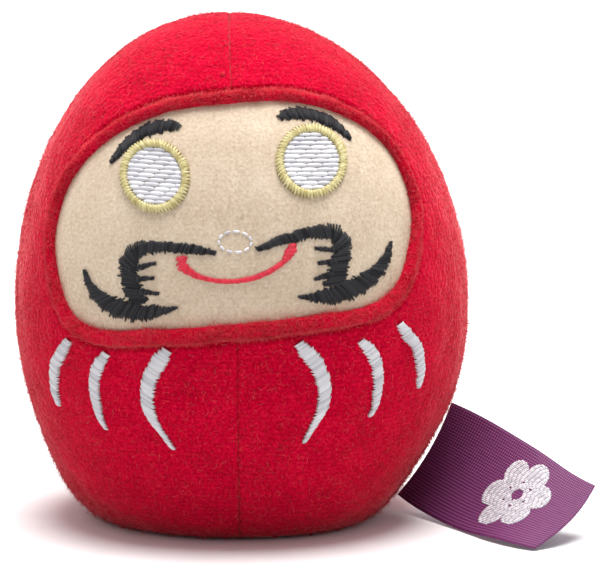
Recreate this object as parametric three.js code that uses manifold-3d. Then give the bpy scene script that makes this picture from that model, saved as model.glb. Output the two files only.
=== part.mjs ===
// Soft daruma doll: a stuffed plush body on a flat base, an embroidered face set in a rolled rim,
// six embroidered robe strokes, and a woven ribbon label that flexes at the side seam.
// Millimetres, +Z up. The face looks along -Y; left_ is -X and right_ is +X.

import * as THREE from "three";
import { mergeVertices } from "three/addons/utils/BufferGeometryUtils.js";
import Module from "manifold-3d";

const wasm = await Module();
wasm.setup();

// ---- Driving sizes ----------------------------------------------------------------------

// Stuffed body, measured over the plush
const bodyRadius = 43.2; // widest ring
const widestHeight = 41; // floor to the widest ring
const crownRise = 55.5; // widest ring to the crown
const lowerDrop = 52.2; // widest ring to where the lower curve would close, below the floor
const crownLean = -2.3; // how far the crown leans sideways

// Sewn layers
const plushThickness = 2.0; // knitted backing and pile together
const faceRecess = 0.5; // face fabric below the plush surface
const faceThickness = 1.0;
const threadRise = 0.4; // satin stitching
const stabiliserThickness = 0.3;

// Seams
const seamGrooveWidth = 1.0;
const seamGrooveDepth = 1.0;
const seamThread = 0.5;
const closingLow = 12; // hand-closed stretch of the back seam, heights above the floor
const closingHigh = 32;
const closingPitch = 2.4;

// Rolled rim of the face opening
const rimHalfWidth = 1.3;
const rimHalfHeight = 1.1;
const rimSink = 0.3; // centre of the roll below the plush surface

// Eyes and nose
const eyeFill = { halfWidth: 4.7, halfHeight: 4.5 };
const eyeRingWidth = 1.5;
const nose = { halfWidth: 3.2, halfHeight: 2.1 };
const noseStitchWidth = 0.5;

// Pellet bag in the base
const bagRadius = 19;
const bagHeight = 13;
const bagWall = 0.4;
const bagNeck = 2.5;

// Woven label
const labelWidth = 20.5;
const labelLength = 42;
const labelThickness = 0.8; // folded ribbon, two layers
const labelRootHeight = 3; // lower end of its seam above the floor

// Clearances
const seamGap = 0.3; // between two panels at a seam
const layerGap = 0.1; // between stacked layers
const edgeGap = 0.2; // between neighbours in one layer
const fillGap = 0.3; // between the stuffing and what it surrounds
const rootGap = 0.5; // between the plush and the label's sewn end

// Fineness of the round shapes
const roundSteps = 36;
const halfRows = 8;

// ---- Body surface -----------------------------------------------------------------------

const bodyHeight = widestHeight + crownRise;
const far = 4 * bodyHeight;

// Radius of the round section at a height, on the surface that lies `out` beyond the plush.
function sectionRadius(height, out = 0) {
  const rise = height - widestHeight;
  const reach = (rise > 0 ? crownRise : lowerDrop) + out;
  return (bodyRadius + out) * Math.sqrt(Math.max(0, 1 - (rise / reach) ** 2));
}

// Point and outward normal of the front surface at a place in the front view.
function frontPoint(x, z) {
  const radius = sectionRadius(z);
  const point = new THREE.Vector3(x, -Math.sqrt(Math.max(0, radius ** 2 - x ** 2)), z);
  const reach = z > widestHeight ? crownRise : lowerDrop;
  const normal = new THREE.Vector3(
    point.x / bodyRadius ** 2,
    point.y / bodyRadius ** 2,
    (z - widestHeight) / reach ** 2,
  ).normalize();
  return { point, normal };
}

// Sideways shift of the body's centre line at a height.
function leanAt(height) {
  return crownLean * (Math.max(0, height - widestHeight) / crownRise) ** 2;
}

// ---- Solids -----------------------------------------------------------------------------

function toSolid(geometry) {
  const bare = new THREE.BufferGeometry();
  bare.setAttribute("position", geometry.getAttribute("position"));
  bare.setIndex(geometry.index);
  const merged = mergeVertices(bare);
  const corners = merged.index.array;
  const kept = [];
  for (let i = 0; i < corners.length; i += 3) {
    const [a, b, c] = corners.slice(i, i + 3);
    if (a !== b && b !== c && c !== a) kept.push(a, b, c);
  }
  const vertProperties = merged.getAttribute("position").array;
  const mesh = new wasm.Mesh({ numProp: 3, vertProperties, triVerts: new Uint32Array(kept) });
  return new wasm.Manifold(mesh);
}

function fromTriangles(points, faces) {
  const geometry = new THREE.BufferGeometry().setFromPoints(points);
  geometry.setIndex(faces.flat());
  return toSolid(geometry);
}

// A turned solid; the profile of [radius, height] pairs runs upwards on its outside.
function turned(profile, steps = roundSteps) {
  const points = profile.map(([radius, height]) => new THREE.Vector2(radius, height));
  return toSolid(new THREE.LatheGeometry(points, steps).rotateX(Math.PI / 2));
}

function block(low, high) {
  const size = low.map((value, i) => high[i] - value);
  const middle = low.map((value, i) => (value + high[i]) / 2);
  return toSolid(new THREE.BoxGeometry(...size).translate(...middle));
}

const eggs = new Map();

// The whole egg whose surface lies `out` beyond the plush.
function egg(out) {
  if (!eggs.has(out)) {
    const profile = [];
    for (let row = -halfRows; row <= halfRows; row += 1) {
      const angle = (row / halfRows) * (Math.PI / 2);
      const reach = (row > 0 ? crownRise : lowerDrop) + out;
      const radius = Math.abs(row) === halfRows ? 0 : (bodyRadius + out) * Math.cos(angle);
      profile.push([radius, widestHeight + reach * Math.sin(angle)]);
    }
    eggs.set(out, turned(profile));
  }
  return eggs.get(out);
}

const aboveFloor = block([-far, -far, 0], [far, far, far]);

// The skin between two surfaces, above the floor.
function layer(inner, outer) {
  return egg(outer).subtract(egg(inner)).intersect(aboveFloor);
}

// ---- Artwork on the front of the body ---------------------------------------------------

// Artwork is drawn on a grid: across in hundredths of the body's radius, up in hundredths of
// its height. Sewing has turned it a little, so a drawing rises towards +X by its slant.
const faceSlant = 0.091;
const robeSlant = 0.055;
const faceShift = -0.5;

function onGrid([across, up], slant, side = 1) {
  const x = (side * across * bodyRadius) / 100;
  return new THREE.Vector2(x, (up * bodyHeight) / 100 + slant * x);
}

function ringOnBody(outline) {
  const ring = THREE.ShapeUtils.isClockWise(outline) ? [...outline].reverse() : outline;
  return ring.map(({ x, y }) => frontPoint(x, y));
}

// A smooth closed outline through grid points given for its right half, from top to bottom.
function mirroredOutline(half, slant, shift, steps) {
  const left = half.filter(([across]) => across > 0).reverse();
  const right = half.map((place) => onGrid(place, slant));
  const both = [...right, ...left.map((place) => onGrid(place, slant, -1))];
  const curve = new THREE.CatmullRomCurve3(
    both.map(({ x, y }) => new THREE.Vector3(x + shift, y, 0)),
    true,
  );
  return curve.getSpacedPoints(steps).slice(0, -1);
}

function ellipseOutline(centre, halfWidth, halfHeight, steps = 20) {
  const curve = new THREE.EllipseCurve(centre.x, centre.y, halfWidth, halfHeight);
  return curve.getPoints(steps).slice(0, -1);
}

// The outline of a stroke along a spine of [across, up, width in mm].
function strokeOutline(spine, slant, side, steps) {
  const curve = new THREE.CatmullRomCurve3(
    spine.map(([across, up, width]) => {
      const { x, y } = onGrid([across, up], slant, side);
      return new THREE.Vector3(x, y, width);
    }),
  );
  const one = [];
  const other = [];
  for (let i = 0; i <= steps; i += 1) {
    const { x, y, z: width } = curve.getPoint(i / steps);
    const along = curve.getTangent(i / steps).setZ(0).normalize();
    one.push(new THREE.Vector2(x - (along.y * width) / 2, y + (along.x * width) / 2));
    other.push(new THREE.Vector2(x + (along.y * width) / 2, y - (along.x * width) / 2));
  }
  return [...one, ...other.reverse()];
}

// Moves a ring of surface points sideways along the surface, outwards if `distance` is positive.
function spread(ring, distance) {
  return ring.map(({ point, normal }, i) => {
    const before = ring.at(i - 1).point;
    const after = ring[(i + 1) % ring.length].point;
    const along = after.clone().sub(before).normalize();
    const outwards = along.cross(normal).normalize();
    const moved = point.clone().addScaledVector(outwards, distance);
    return frontPoint(moved.x, moved.z);
  });
}

// A closed plug through the skin: the ring swept along the surface's normals.
function plug(ring, inward, outward) {
  const near = ring.map(({ point, normal }) => point.clone().addScaledVector(normal, -inward));
  const away = ring.map(({ point, normal }) => point.clone().addScaledVector(normal, outward));
  const contour = ring.map(({ point }) => new THREE.Vector2(point.x, point.z));
  const caps = THREE.ShapeUtils.triangulateShape(contour, []);
  const count = ring.length;
  const faces = [];
  for (const [a, b, c] of caps) faces.push([a + count, b + count, c + count], [c, b, a]);
  for (let i = 0; i < count; i += 1) {
    const next = (i + 1) % count;
    faces.push([i, next, next + count], [i, next + count, i + count]);
  }
  return fromTriangles([...near, ...away], faces);
}

const patchReach = 4; // a small patch's plug runs this far to both sides of the surface
const openingInward = 6;
const openingOutward = 50; // far enough for the flat end of the plug to clear the bulging front

function patch(outline, inner, outer) {
  return plug(ringOnBody(outline), patchReach, patchReach).intersect(layer(inner, outer));
}

function opening(ring) {
  return plug(ring, openingInward, openingOutward);
}

// ---- The doll ---------------------------------------------------------------------------

const finishes = {
  plush: { color: 0xc4122e, roughness: 0.95 },
  velour: { color: 0xdcc8af, roughness: 0.9 },
  white_thread: { color: 0xf2f0ec, roughness: 0.5 },
  gold_thread: { color: 0xd9cb7d, roughness: 0.45 },
  black_thread: { color: 0x25262b, roughness: 0.5 },
  pink_thread: { color: 0xe02b48, roughness: 0.5 },
  red_thread: { color: 0x8f0d20, roughness: 0.6 },
  stabiliser: { color: 0xe8e6e0, roughness: 0.9 },
  fibre: { color: 0xf0efea, roughness: 1 },
  bag_cloth: { color: 0xd8d3c6, roughness: 0.9 },
  pellet: { color: 0xdfe3e6, roughness: 0.5 },
  ribbon: { color: 0x5f2c57, roughness: 0.6 },
};

const materials = Object.fromEntries(
  Object.entries(finishes).map(([name, look]) => [
    name,
    new THREE.MeshStandardMaterial({ name, metalness: 0, ...look }),
  ]),
);

const doll = new THREE.Group();
doll.name = "daruma_doll";

// Adds a solid as a named mesh. Everything on the body follows the lean of its crown.
function add(name, solid, finish) {
  const { vertProperties, numProp, numVert, triVerts } = solid.getMesh();
  const positions = new Float32Array(numVert * 3);
  for (let i = 0; i < numVert; i += 1) {
    const [x, y, z] = vertProperties.subarray(i * numProp, i * numProp + 3);
    positions.set([x + leanAt(z), y, z], i * 3);
  }
  const geometry = new THREE.BufferGeometry();
  geometry.setAttribute("position", new THREE.BufferAttribute(positions, 3));
  geometry.setIndex(new THREE.BufferAttribute(triVerts, 1));
  geometry.computeVertexNormals();
  const mesh = new THREE.Mesh(geometry, materials[finish]);
  mesh.name = name;
  doll.add(mesh);
}

const sides = [
  ["left", -1],
  ["right", 1],
];

// ---- Face opening and rim ---------------------------------------------------------------

const faceOpening = [
  [0, 83.7],
  [30, 82.5],
  [53, 77.9],
  [68, 71],
  [74.8, 61.5],
  [73, 54.5],
  [68, 48.8],
  [59, 46.1],
  [32, 45.6],
  [0, 45.6],
];
const openingSteps = 44;
const rimInnerEdge = ringOnBody(mirroredOutline(faceOpening, faceSlant, faceShift, openingSteps));
const rimCentre = spread(rimInnerEdge, rimHalfWidth);
const rimThreadCentre = spread(rimCentre, rimHalfWidth + edgeGap + seamThread / 2);
const panelCut = spread(rimThreadCentre, seamThread / 2 + edgeGap);

// A closed roll along a ring of surface points, oval in section.
function roll(ring, halfWidth, halfHeight, lift, sectionSteps) {
  const points = [];
  ring.forEach(({ point, normal }, i) => {
    const before = ring.at(i - 1).point;
    const after = ring[(i + 1) % ring.length].point;
    const outwards = after.clone().sub(before).cross(normal).normalize();
    const centre = point.clone().addScaledVector(normal, lift);
    for (let k = 0; k < sectionSteps; k += 1) {
      const turn = (2 * Math.PI * k) / sectionSteps;
      points.push(
        centre
          .clone()
          .addScaledVector(outwards, halfWidth * Math.cos(turn))
          .addScaledVector(normal, halfHeight * Math.sin(turn)),
      );
    }
  });
  const faces = [];
  for (let i = 0; i < ring.length; i += 1) {
    const next = (i + 1) % ring.length;
    for (let k = 0; k < sectionSteps; k += 1) {
      const turnNext = (k + 1) % sectionSteps;
      const [a, b] = [i * sectionSteps + k, i * sectionSteps + turnNext];
      const [c, d] = [next * sectionSteps + turnNext, next * sectionSteps + k];
      faces.push([a, d, c], [a, c, b]);
    }
  }
  return fromTriangles(points, faces);
}

add("face_rim", roll(rimCentre, rimHalfWidth, rimHalfHeight, -rimSink, 8), "plush");
add(
  "rim_seam_thread",
  roll(rimThreadCentre, seamThread / 2, seamThread / 2, -seamGrooveDepth, 4),
  "red_thread",
);

const facePanelEdge = spread(rimInnerEdge, -edgeGap);
const faceBottom = -faceRecess - faceThickness;
add(
  "face_panel",
  opening(facePanelEdge).intersect(layer(faceBottom, -faceRecess)),
  "velour",
);

const stabiliserTop = faceBottom - layerGap;
add(
  "face_stabiliser",
  opening(spread(facePanelEdge, -edgeGap)).intersect(
    layer(stabiliserTop - stabiliserThickness, stabiliserTop),
  ),
  "stabiliser",
);

// ---- Plush panels and base --------------------------------------------------------------

const footOuter = sectionRadius(0);
const footInner = sectionRadius(0, -plushThickness);
const baseRadius = footInner - seamGap;
const baseSeamRadius = (footInner + baseRadius) / 2;

function washer(inner, outer, low, high) {
  return turned([
    [inner, high],
    [inner, low],
    [outer, low],
    [outer, high],
    [inner, high],
  ]);
}

const baseGroove = washer(
  baseSeamRadius - seamGrooveWidth / 2,
  baseSeamRadius + seamGrooveWidth / 2,
  -seamGrooveDepth,
  seamGrooveDepth,
);

const halfGroove = seamGrooveWidth / 2;
const seamPlanes = block([-halfGroove, -far, -far], [halfGroove, far, far]).add(
  block([-far, -halfGroove, -far], [far, halfGroove, far]),
);
const seamGrooves = seamPlanes.subtract(egg(-seamGrooveDepth));
const skin = layer(-plushThickness, 0)
  .subtract(seamGrooves)
  .subtract(baseGroove)
  .subtract(opening(panelCut));

for (const [sideName, side] of sides) {
  for (const [endName, end] of [
    ["front", -1],
    ["back", 1],
  ]) {
    const near = seamGap / 2;
    const corner = [
      [near * side, far * side].sort((a, b) => a - b),
      [near * end, far * end].sort((a, b) => a - b),
    ];
    const quarter = block([corner[0][0], corner[1][0], -far], [corner[0][1], corner[1][1], far]);
    add(`${endName}_${sideName}_panel`, skin.intersect(quarter), "plush");
  }
}

const basePanel = turned([
  [0, 0],
  [baseRadius, 0],
  [baseRadius, plushThickness],
  [0, plushThickness],
]);
add("base_panel", basePanel.subtract(baseGroove), "plush");

// ---- Seam threads -----------------------------------------------------------------------

const threadTop = -(seamGrooveDepth - seamThread) + layerGap;
const threadLayer = egg(threadTop).subtract(egg(threadTop - seamThread));
const crownKnot = 1.5; // the four seams stop this far from the crown's axis
const footClear = seamGrooveDepth + edgeGap;
const rimTop = Math.max(...panelCut.map(({ point }) => point.z));
const seamCrossings = panelCut.filter(({ point }) => Math.abs(point.x) < bodyRadius / 4);
const rimLow = Math.min(...seamCrossings.map(({ point }) => point.z));

// The thread of one seam: direction is its place round the body, between two heights.
function seamLine([dx, dy], low, high) {
  const half = seamThread / 2;
  const from = [dx, dy].map((d) => (d === 0 ? -half : d > 0 ? crownKnot : -far));
  const to = [dx, dy].map((d) => (d === 0 ? half : d > 0 ? far : -crownKnot));
  return block([...from, low], [...to, high]).intersect(threadLayer);
}

const front = [0, -1];
const back = [0, 1];
add("front_lower_seam_thread", seamLine(front, footClear, rimLow - edgeGap), "red_thread");
add("front_upper_seam_thread", seamLine(front, rimTop + edgeGap, far), "red_thread");
add("back_seam_thread", seamLine(back, closingHigh + edgeGap, far), "red_thread");
for (const [sideName, side] of sides) {
  add(`${sideName}_side_seam_thread`, seamLine([side, 0], footClear, far), "red_thread");
}

add(
  "base_seam_thread",
  washer(
    baseSeamRadius - seamThread / 2,
    baseSeamRadius + seamThread / 2,
    seamGrooveDepth - seamThread - edgeGap,
    seamGrooveDepth - edgeGap,
  ),
  "red_thread",
);

// Ladder stitches of the closed stuffing opening: one thread that zigzags in the back groove.
function zigzag(low, high, pitch, swing, thickness) {
  const turns = Math.max(1, Math.round((high - low) / pitch));
  const oneEdge = [];
  const otherEdge = [];
  for (let i = 0; i <= turns; i += 1) {
    const height = low + ((high - low) * i) / turns;
    const sideways = i % 2 === 0 ? -swing : swing;
    oneEdge.push(new THREE.Vector2(sideways - thickness / 2, height));
    otherEdge.push(new THREE.Vector2(sideways + thickness / 2, height));
  }
  const shape = new THREE.Shape([...otherEdge, ...oneEdge.reverse()]);
  const geometry = new THREE.ExtrudeGeometry(shape, { depth: far, bevelEnabled: false });
  return toSolid(geometry.rotateX(Math.PI / 2).translate(0, far, 0));
}

const closingThread = seamThread / 2;
add(
  "closing_stitches",
  zigzag(
    closingLow,
    closingHigh,
    closingPitch,
    seamGrooveWidth / 2 - edgeGap - closingThread / 2,
    closingThread,
  ).intersect(threadLayer),
  "red_thread",
);
add("back_foot_seam_thread", seamLine(back, footClear, closingLow - edgeGap), "red_thread");

// ---- Face embroidery --------------------------------------------------------------------

const faceThreadLow = -faceRecess + layerGap;
const faceThreadHigh = faceThreadLow + threadRise;

function faceStroke(spine, side, steps) {
  return patch(strokeOutline(spine, faceSlant, side, steps), faceThreadLow, faceThreadHigh);
}

function faceOval(centre, halfWidth, halfHeight) {
  return patch(ellipseOutline(centre, halfWidth, halfHeight), faceThreadLow, faceThreadHigh);
}

const eyeRingInner = [eyeFill.halfWidth + edgeGap, eyeFill.halfHeight + edgeGap];
const eyeRingOuter = eyeRingInner.map((half) => half + eyeRingWidth);

// The eyebrow arches over the eye ring, so it is drawn from the eye's centre in ring halves.
const browOverRing = [
  [-0.79, 1.37, 1.7],
  [0.07, 1.3, 1.9],
  [0.74, 0.95, 1.4],
  [1.22, 0.41, 0.5],
];

// The eyes hang from the top of the opening, with room for the brow between.
const browClear = 1.5; // from the brow to the rim
const [, browRise, browWidth] = browOverRing[0];
const eyeDrop = browClear + browRise * eyeRingOuter[1] + browWidth / 2;
const eyePlace = [32.5, faceOpening[0][1] - (100 * eyeDrop) / bodyHeight];
const browSpine = browOverRing.map(([across, up, width]) => [
  eyePlace[0] + (100 * across * eyeRingOuter[0]) / bodyRadius,
  eyePlace[1] + (100 * up * eyeRingOuter[1]) / bodyHeight,
  width,
]);

const nosePlace = [-0.5, 59.7];
const noseClear = 0.6; // from the nose stitches to the moustache's inner tip
const moustacheStart = (100 * (nose.halfWidth + noseClear)) / bodyRadius;
const moustacheSpine = [
  [moustacheStart, 58.2, 0.5],
  [19, 59.5, 1.6],
  [33, 60.6, 1.9],
  [42, 59.8, 2.3],
  [45.3, 56.2, 3],
  [42, 52.8, 3],
  [39.4, 50.1, 1],
];
// Hair ends of the moustache: from inside its drop to their tips
const moustacheTeeth = [
  [43, 55.9, 33.1, 56.9],
  [42, 54, 34.3, 54.1],
  [41, 51.8, 32.6, 51.2],
];
const beardSpine = [
  [62.3, 55.9, 0.4],
  [60.2, 52.6, 2],
  [54.2, 49.6, 3.5],
  [40.3, 47.8, 3.4],
  [31, 47.9, 1.6],
  [24.5, 48.5, 0.4],
];
const toothWidth = 1.2;

for (const [sideName, side] of sides) {
  const eyeCentre = onGrid(eyePlace, faceSlant, side);
  const fill = faceOval(eyeCentre, eyeFill.halfWidth, eyeFill.halfHeight);
  const ring = faceOval(eyeCentre, ...eyeRingOuter).subtract(
    plug(ringOnBody(ellipseOutline(eyeCentre, ...eyeRingInner)), patchReach, patchReach),
  );
  add(`${sideName}_eye_fill`, fill, "white_thread");
  add(`${sideName}_eye_ring`, ring, "gold_thread");
  add(`${sideName}_eyebrow`, faceStroke(browSpine, side, 8), "black_thread");
  const teeth = moustacheTeeth.map(([fromAcross, fromUp, toAcross, toUp]) => {
    const tooth = [
      [fromAcross, fromUp, toothWidth],
      [toAcross, toUp, toothWidth / 3],
    ];
    return faceStroke(tooth, side, 2);
  });
  const moustache = teeth.reduce(
    (whole, tooth) => whole.add(tooth),
    faceStroke(moustacheSpine, side, 15),
  );
  add(`${sideName}_moustache`, moustache, "black_thread");
  add(`${sideName}_beard`, faceStroke(beardSpine, side, 12), "black_thread");
}

const noseCentre = onGrid(nosePlace, faceSlant);
const noseHole = ellipseOutline(
  noseCentre,
  nose.halfWidth - noseStitchWidth,
  nose.halfHeight - noseStitchWidth,
);
add(
  "nose_stitches",
  faceOval(noseCentre, nose.halfWidth, nose.halfHeight).subtract(
    plug(ringOnBody(noseHole), patchReach, patchReach),
  ),
  "white_thread",
);

const mouthSpine = [
  [-20.5, 57.6, 1.4],
  [-21.8, 56.6, 1.5],
  [-15.5, 54, 0.9],
  [-2.5, 52.6, 0.8],
  [10, 53.2, 0.9],
  [19.5, 55.2, 1],
  [22.2, 57.4, 1.5],
];
add("mouth", faceStroke(mouthSpine, 1, 16), "pink_thread");

// ---- Robe embroidery --------------------------------------------------------------------

const robeStrokes = [
  [
    [25.9, 40.9, 2.6],
    [35.6, 36, 3.2],
    [37.2, 29.5, 2.2],
    [27, 20.2, 0.6],
  ],
  [
    [51.6, 39.8, 2.4],
    [59, 35.9, 2.6],
    [60.4, 31.3, 1.9],
    [54, 23.2, 0.6],
  ],
  [
    [68, 42, 2.2],
    [76.5, 37.5, 2.2],
    [78.6, 32.3, 1.6],
    [75.2, 26.3, 0.5],
  ],
];
const robeThreadLow = layerGap;
const robeThreadHigh = robeThreadLow + threadRise;
const robeBacking = [
  [14, 46],
  [90, 46],
  [86, 22],
  [50, 14],
  [14, 14],
];
const robeBackingTop = -plushThickness - layerGap;

for (const [sideName, side] of sides) {
  robeStrokes.forEach((spine, i) => {
    const outline = strokeOutline(spine, robeSlant, side, 9);
    const stroke = patch(outline, robeThreadLow, robeThreadHigh);
    add(`${sideName}_robe_stroke_${i + 1}`, stroke, "white_thread");
  });
  const outline = robeBacking.map((place) => onGrid(place, 0, side));
  const backing = opening(ringOnBody(outline)).intersect(
    layer(robeBackingTop - stabiliserThickness, robeBackingTop),
  );
  add(`${sideName}_robe_stabiliser`, backing, "stabiliser");
}

// ---- Stuffing and pellet bag ------------------------------------------------------------

const bagFloor = plushThickness + fillGap;
const bagShoulder = 0.72; // where the pouch turns in, as a share of its height

// Half outline of the pouch drawn `out` beyond its cloth, from the axis below to the neck.
function pouch(out) {
  return [
    [0, bagFloor - out],
    [bagRadius * 0.9 + out / 2, bagFloor - out],
    [bagRadius + out, bagFloor + bagHeight * 0.25],
    [bagRadius + out, bagFloor + bagHeight * 0.45],
    [bagRadius * 0.8 + out, bagFloor + bagHeight * bagShoulder],
    [bagNeck + bagWall + out, bagFloor + bagHeight * 0.9],
    [bagNeck + bagWall + out, bagFloor + bagHeight + out],
  ];
}

const pouchSteps = 16;
add(
  "pellet_bag",
  turned([...pouch(0), ...pouch(-bagWall).reverse()], pouchSteps),
  "bag_cloth",
);
const pelletOutline = pouch(-bagWall - edgeGap).slice(0, 5);
add(
  "pellet_fill",
  turned([...pelletOutline, [0, pelletOutline[4][1] + edgeGap]], pouchSteps),
  "pellet",
);

const cavity = turned(
  [
    [0, -far],
    [bagRadius + fillGap, -far],
    ...pouch(fillGap).slice(3),
    [0, bagFloor + bagHeight + fillGap],
  ],
  pouchSteps,
);
const stuffingSurface = robeBackingTop - stabiliserThickness - fillGap;
const aboveBase = block([-far, -far, plushThickness + fillGap], [far, far, far]);
add("stuffing", egg(stuffingSurface).intersect(aboveBase).subtract(cavity), "fibre");

// ---- Woven label ------------------------------------------------------------------------

// The sewn end follows the side seam; the lower far corner rests on the floor, turned towards
// the front, and the upper far corner stands a ribbon's width away from it.
const seamPoint = (height) => new THREE.Vector3(sectionRadius(height) + rootGap, 0, height);
const rootRise = 0.888 * labelWidth; // the seam leans outwards, so the sewn end rises a little less
const lowRoot = seamPoint(labelRootHeight);
const lowHeading = THREE.MathUtils.degToRad(55);
const lowChord = 0.95 * labelLength;
const lowDrop = labelRootHeight - labelThickness;
const lowReach = Math.sqrt(lowChord ** 2 - lowDrop ** 2);
const lowCorner = new THREE.Vector3(
  lowRoot.x + lowReach * Math.cos(lowHeading),
  -lowReach * Math.sin(lowHeading),
  labelThickness,
);
const endDirection = new THREE.Vector3(0.6, 0.67, 0.435).normalize();

// Middle surface of the label: `across` from its lower to its upper edge, `along` from the seam.
function labelPoint(across, along) {
  const root = seamPoint(labelRootHeight + across * rootRise);
  const end = lowCorner.clone().addScaledVector(endDirection, across * labelWidth);
  const leaving = new THREE.Vector3(1, 0, -0.12 - 0.4 * across).normalize();
  const arriving = new THREE.Vector3(0.5, -0.86, -0.2 * across).normalize();
  const handle = labelLength / 3;
  const curve = new THREE.CubicBezierCurve3(
    root,
    root.clone().addScaledVector(leaving, handle * (0.6 + 0.4 * across)),
    end.clone().addScaledVector(arriving, -handle),
    end,
  );
  return curve.getPoint(along);
}

// A thin sheet thickened to both sides of its middle surface.
function thickSheet(pointAt, columns, rows, thickness) {
  const middle = [];
  for (let i = 0; i <= columns; i += 1) {
    for (let j = 0; j <= rows; j += 1) middle.push(pointAt(j / rows, i / columns));
  }
  const at = (i, j) => i * (rows + 1) + j;
  const normals = middle.map((_, k) => {
    const [i, j] = [Math.floor(k / (rows + 1)), k % (rows + 1)];
    const along = middle[at(Math.min(i + 1, columns), j)].clone();
    along.sub(middle[at(Math.max(i - 1, 0), j)]);
    const across = middle[at(i, Math.min(j + 1, rows))].clone();
    across.sub(middle[at(i, Math.max(j - 1, 0))]);
    return along.cross(across).normalize();
  });
  const top = middle.map((p, k) => p.clone().addScaledVector(normals[k], thickness / 2));
  const bottom = middle.map((p, k) => p.clone().addScaledVector(normals[k], -thickness / 2));
  const count = middle.length;
  const faces = [];
  const quad = (a, b, c, d) => faces.push([a, b, c], [a, c, d]);
  for (let i = 0; i < columns; i += 1) {
    for (let j = 0; j < rows; j += 1) {
      const [a, b, c, d] = [at(i, j), at(i + 1, j), at(i + 1, j + 1), at(i, j + 1)];
      quad(a, b, c, d);
      quad(d + count, c + count, b + count, a + count);
    }
  }
  for (let i = 0; i < columns; i += 1) {
    quad(at(i, 0), at(i, 0) + count, at(i + 1, 0) + count, at(i + 1, 0));
    quad(at(i + 1, rows), at(i + 1, rows) + count, at(i, rows) + count, at(i, rows));
  }
  for (let j = 0; j < rows; j += 1) {
    quad(at(0, j + 1), at(0, j + 1) + count, at(0, j) + count, at(0, j));
    quad(at(columns, j), at(columns, j) + count, at(columns, j + 1) + count, at(columns, j + 1));
  }
  return fromTriangles([...top, ...bottom], faces);
}

add("woven_label", thickSheet(labelPoint, 12, 4, labelThickness), "ribbon");

export default doll;
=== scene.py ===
# %% [markdown]
# # A soft daruma doll
# The doll is a palm-sized stuffed toy: four gores of brushed red plush on a flat base, a pale
# velour face set into a rolled rim, thread embroidery, and a woven ribbon label at one side
# seam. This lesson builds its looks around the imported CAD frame, one piece at a time.

# %% Load the frame
import math

import bpy
import numpy as np
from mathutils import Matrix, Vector
from mathutils.kdtree import KDTree


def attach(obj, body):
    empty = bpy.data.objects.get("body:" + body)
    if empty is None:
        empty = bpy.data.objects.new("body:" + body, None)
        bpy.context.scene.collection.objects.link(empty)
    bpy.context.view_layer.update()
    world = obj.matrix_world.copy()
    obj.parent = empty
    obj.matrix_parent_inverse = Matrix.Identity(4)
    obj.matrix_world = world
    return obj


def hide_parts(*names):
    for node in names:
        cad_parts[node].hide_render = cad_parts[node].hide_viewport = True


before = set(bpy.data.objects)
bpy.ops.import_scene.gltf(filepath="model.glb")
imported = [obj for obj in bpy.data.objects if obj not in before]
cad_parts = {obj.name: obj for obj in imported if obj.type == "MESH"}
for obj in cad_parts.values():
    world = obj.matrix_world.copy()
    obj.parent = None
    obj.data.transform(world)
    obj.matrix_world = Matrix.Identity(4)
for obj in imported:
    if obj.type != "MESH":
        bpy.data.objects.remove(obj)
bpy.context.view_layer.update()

bpy.ops.object.select_all(action="DESELECT")
print("frame holds", len(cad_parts), "nodes")

# %% [markdown]
# ## Camera, light and floor
# A toy on a white table is lit by one broad overhead panel, the white table and the white wall
# behind it, and it is darkest on the side that faces the dark room. The camera, the light and
# the floor are made first, so that every later piece can be judged in its final light.

# %% Camera
camera_aim = Vector((0.01115, 0, 0.0437))
camera_distance = 0.6
camera_elevation = math.radians(8)
camera_data = bpy.data.cameras.new("camera")
camera_data.lens = 187.2
camera_data.sensor_width = 36
camera_data.clip_start = 0.05
camera = bpy.data.objects.new("camera", camera_data)
away = Vector((0, -math.cos(camera_elevation), math.sin(camera_elevation)))
camera.location = camera_aim + camera_distance * away
camera.rotation_euler = (-away).to_track_quat("-Z", "Y").to_euler()
bpy.context.scene.collection.objects.link(camera)
bpy.context.scene.camera = camera
bpy.context.scene.view_settings.view_transform = "Standard"
print("camera looks down by", math.degrees(camera_elevation), "degrees")

# %% [markdown]
# The overhead panel is a sun lamp with a very wide disc, which lights the whole table evenly
# and gives soft shadows. The world stands for the room: bright behind and at both sides, dim in
# front. The camera itself sees plain white wherever nothing stands.

# %% Light
def add_sun(name, strength, disc_degrees, towards):
    lamp = bpy.data.lights.new(name, "SUN")
    lamp.energy = strength
    lamp.angle = math.radians(disc_degrees)
    holder = bpy.data.objects.new(name, lamp)
    holder.rotation_euler = Vector(towards).to_track_quat("-Z", "Y").to_euler()
    bpy.context.scene.collection.objects.link(holder)


add_sun("overhead_panel", 4.95, 42, (-0.05, -0.07, -1))


def new_tree(owner):
    owner.use_nodes = True
    tree = owner.node_tree
    tree.nodes.clear()
    return tree


def add_node(tree, kind, inputs=None, **settings):
    made = tree.nodes.new(kind)
    for name, value in settings.items():
        setattr(made, name, value)
    for name, value in (inputs or {}).items():
        socket = made.inputs[name]
        if isinstance(value, bpy.types.NodeSocket):
            tree.links.new(value, socket)
        else:
            socket.default_value = value
    return made


def value(tree, operation, a, b=0.0, c=0.0):
    return add_node(tree, "ShaderNodeMath", {0: a, 1: b, 2: c}, operation=operation).outputs[0]


def colour(red, green, blue):
    return (red, green, blue, 1.0)


def grey(level):
    return colour(level, level, level)


def ramp(tree, source, stops):
    """A colour ramp on a value, from (position, colour) pairs."""
    made = add_node(tree, "ShaderNodeValToRGB", {"Fac": source})
    elements = made.color_ramp.elements
    while len(elements) < len(stops):
        elements.new(0.5)
    for element, (position, shade) in zip(elements, stops):
        element.position = position
        element.color = shade
    return made.outputs["Color"]


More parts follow.
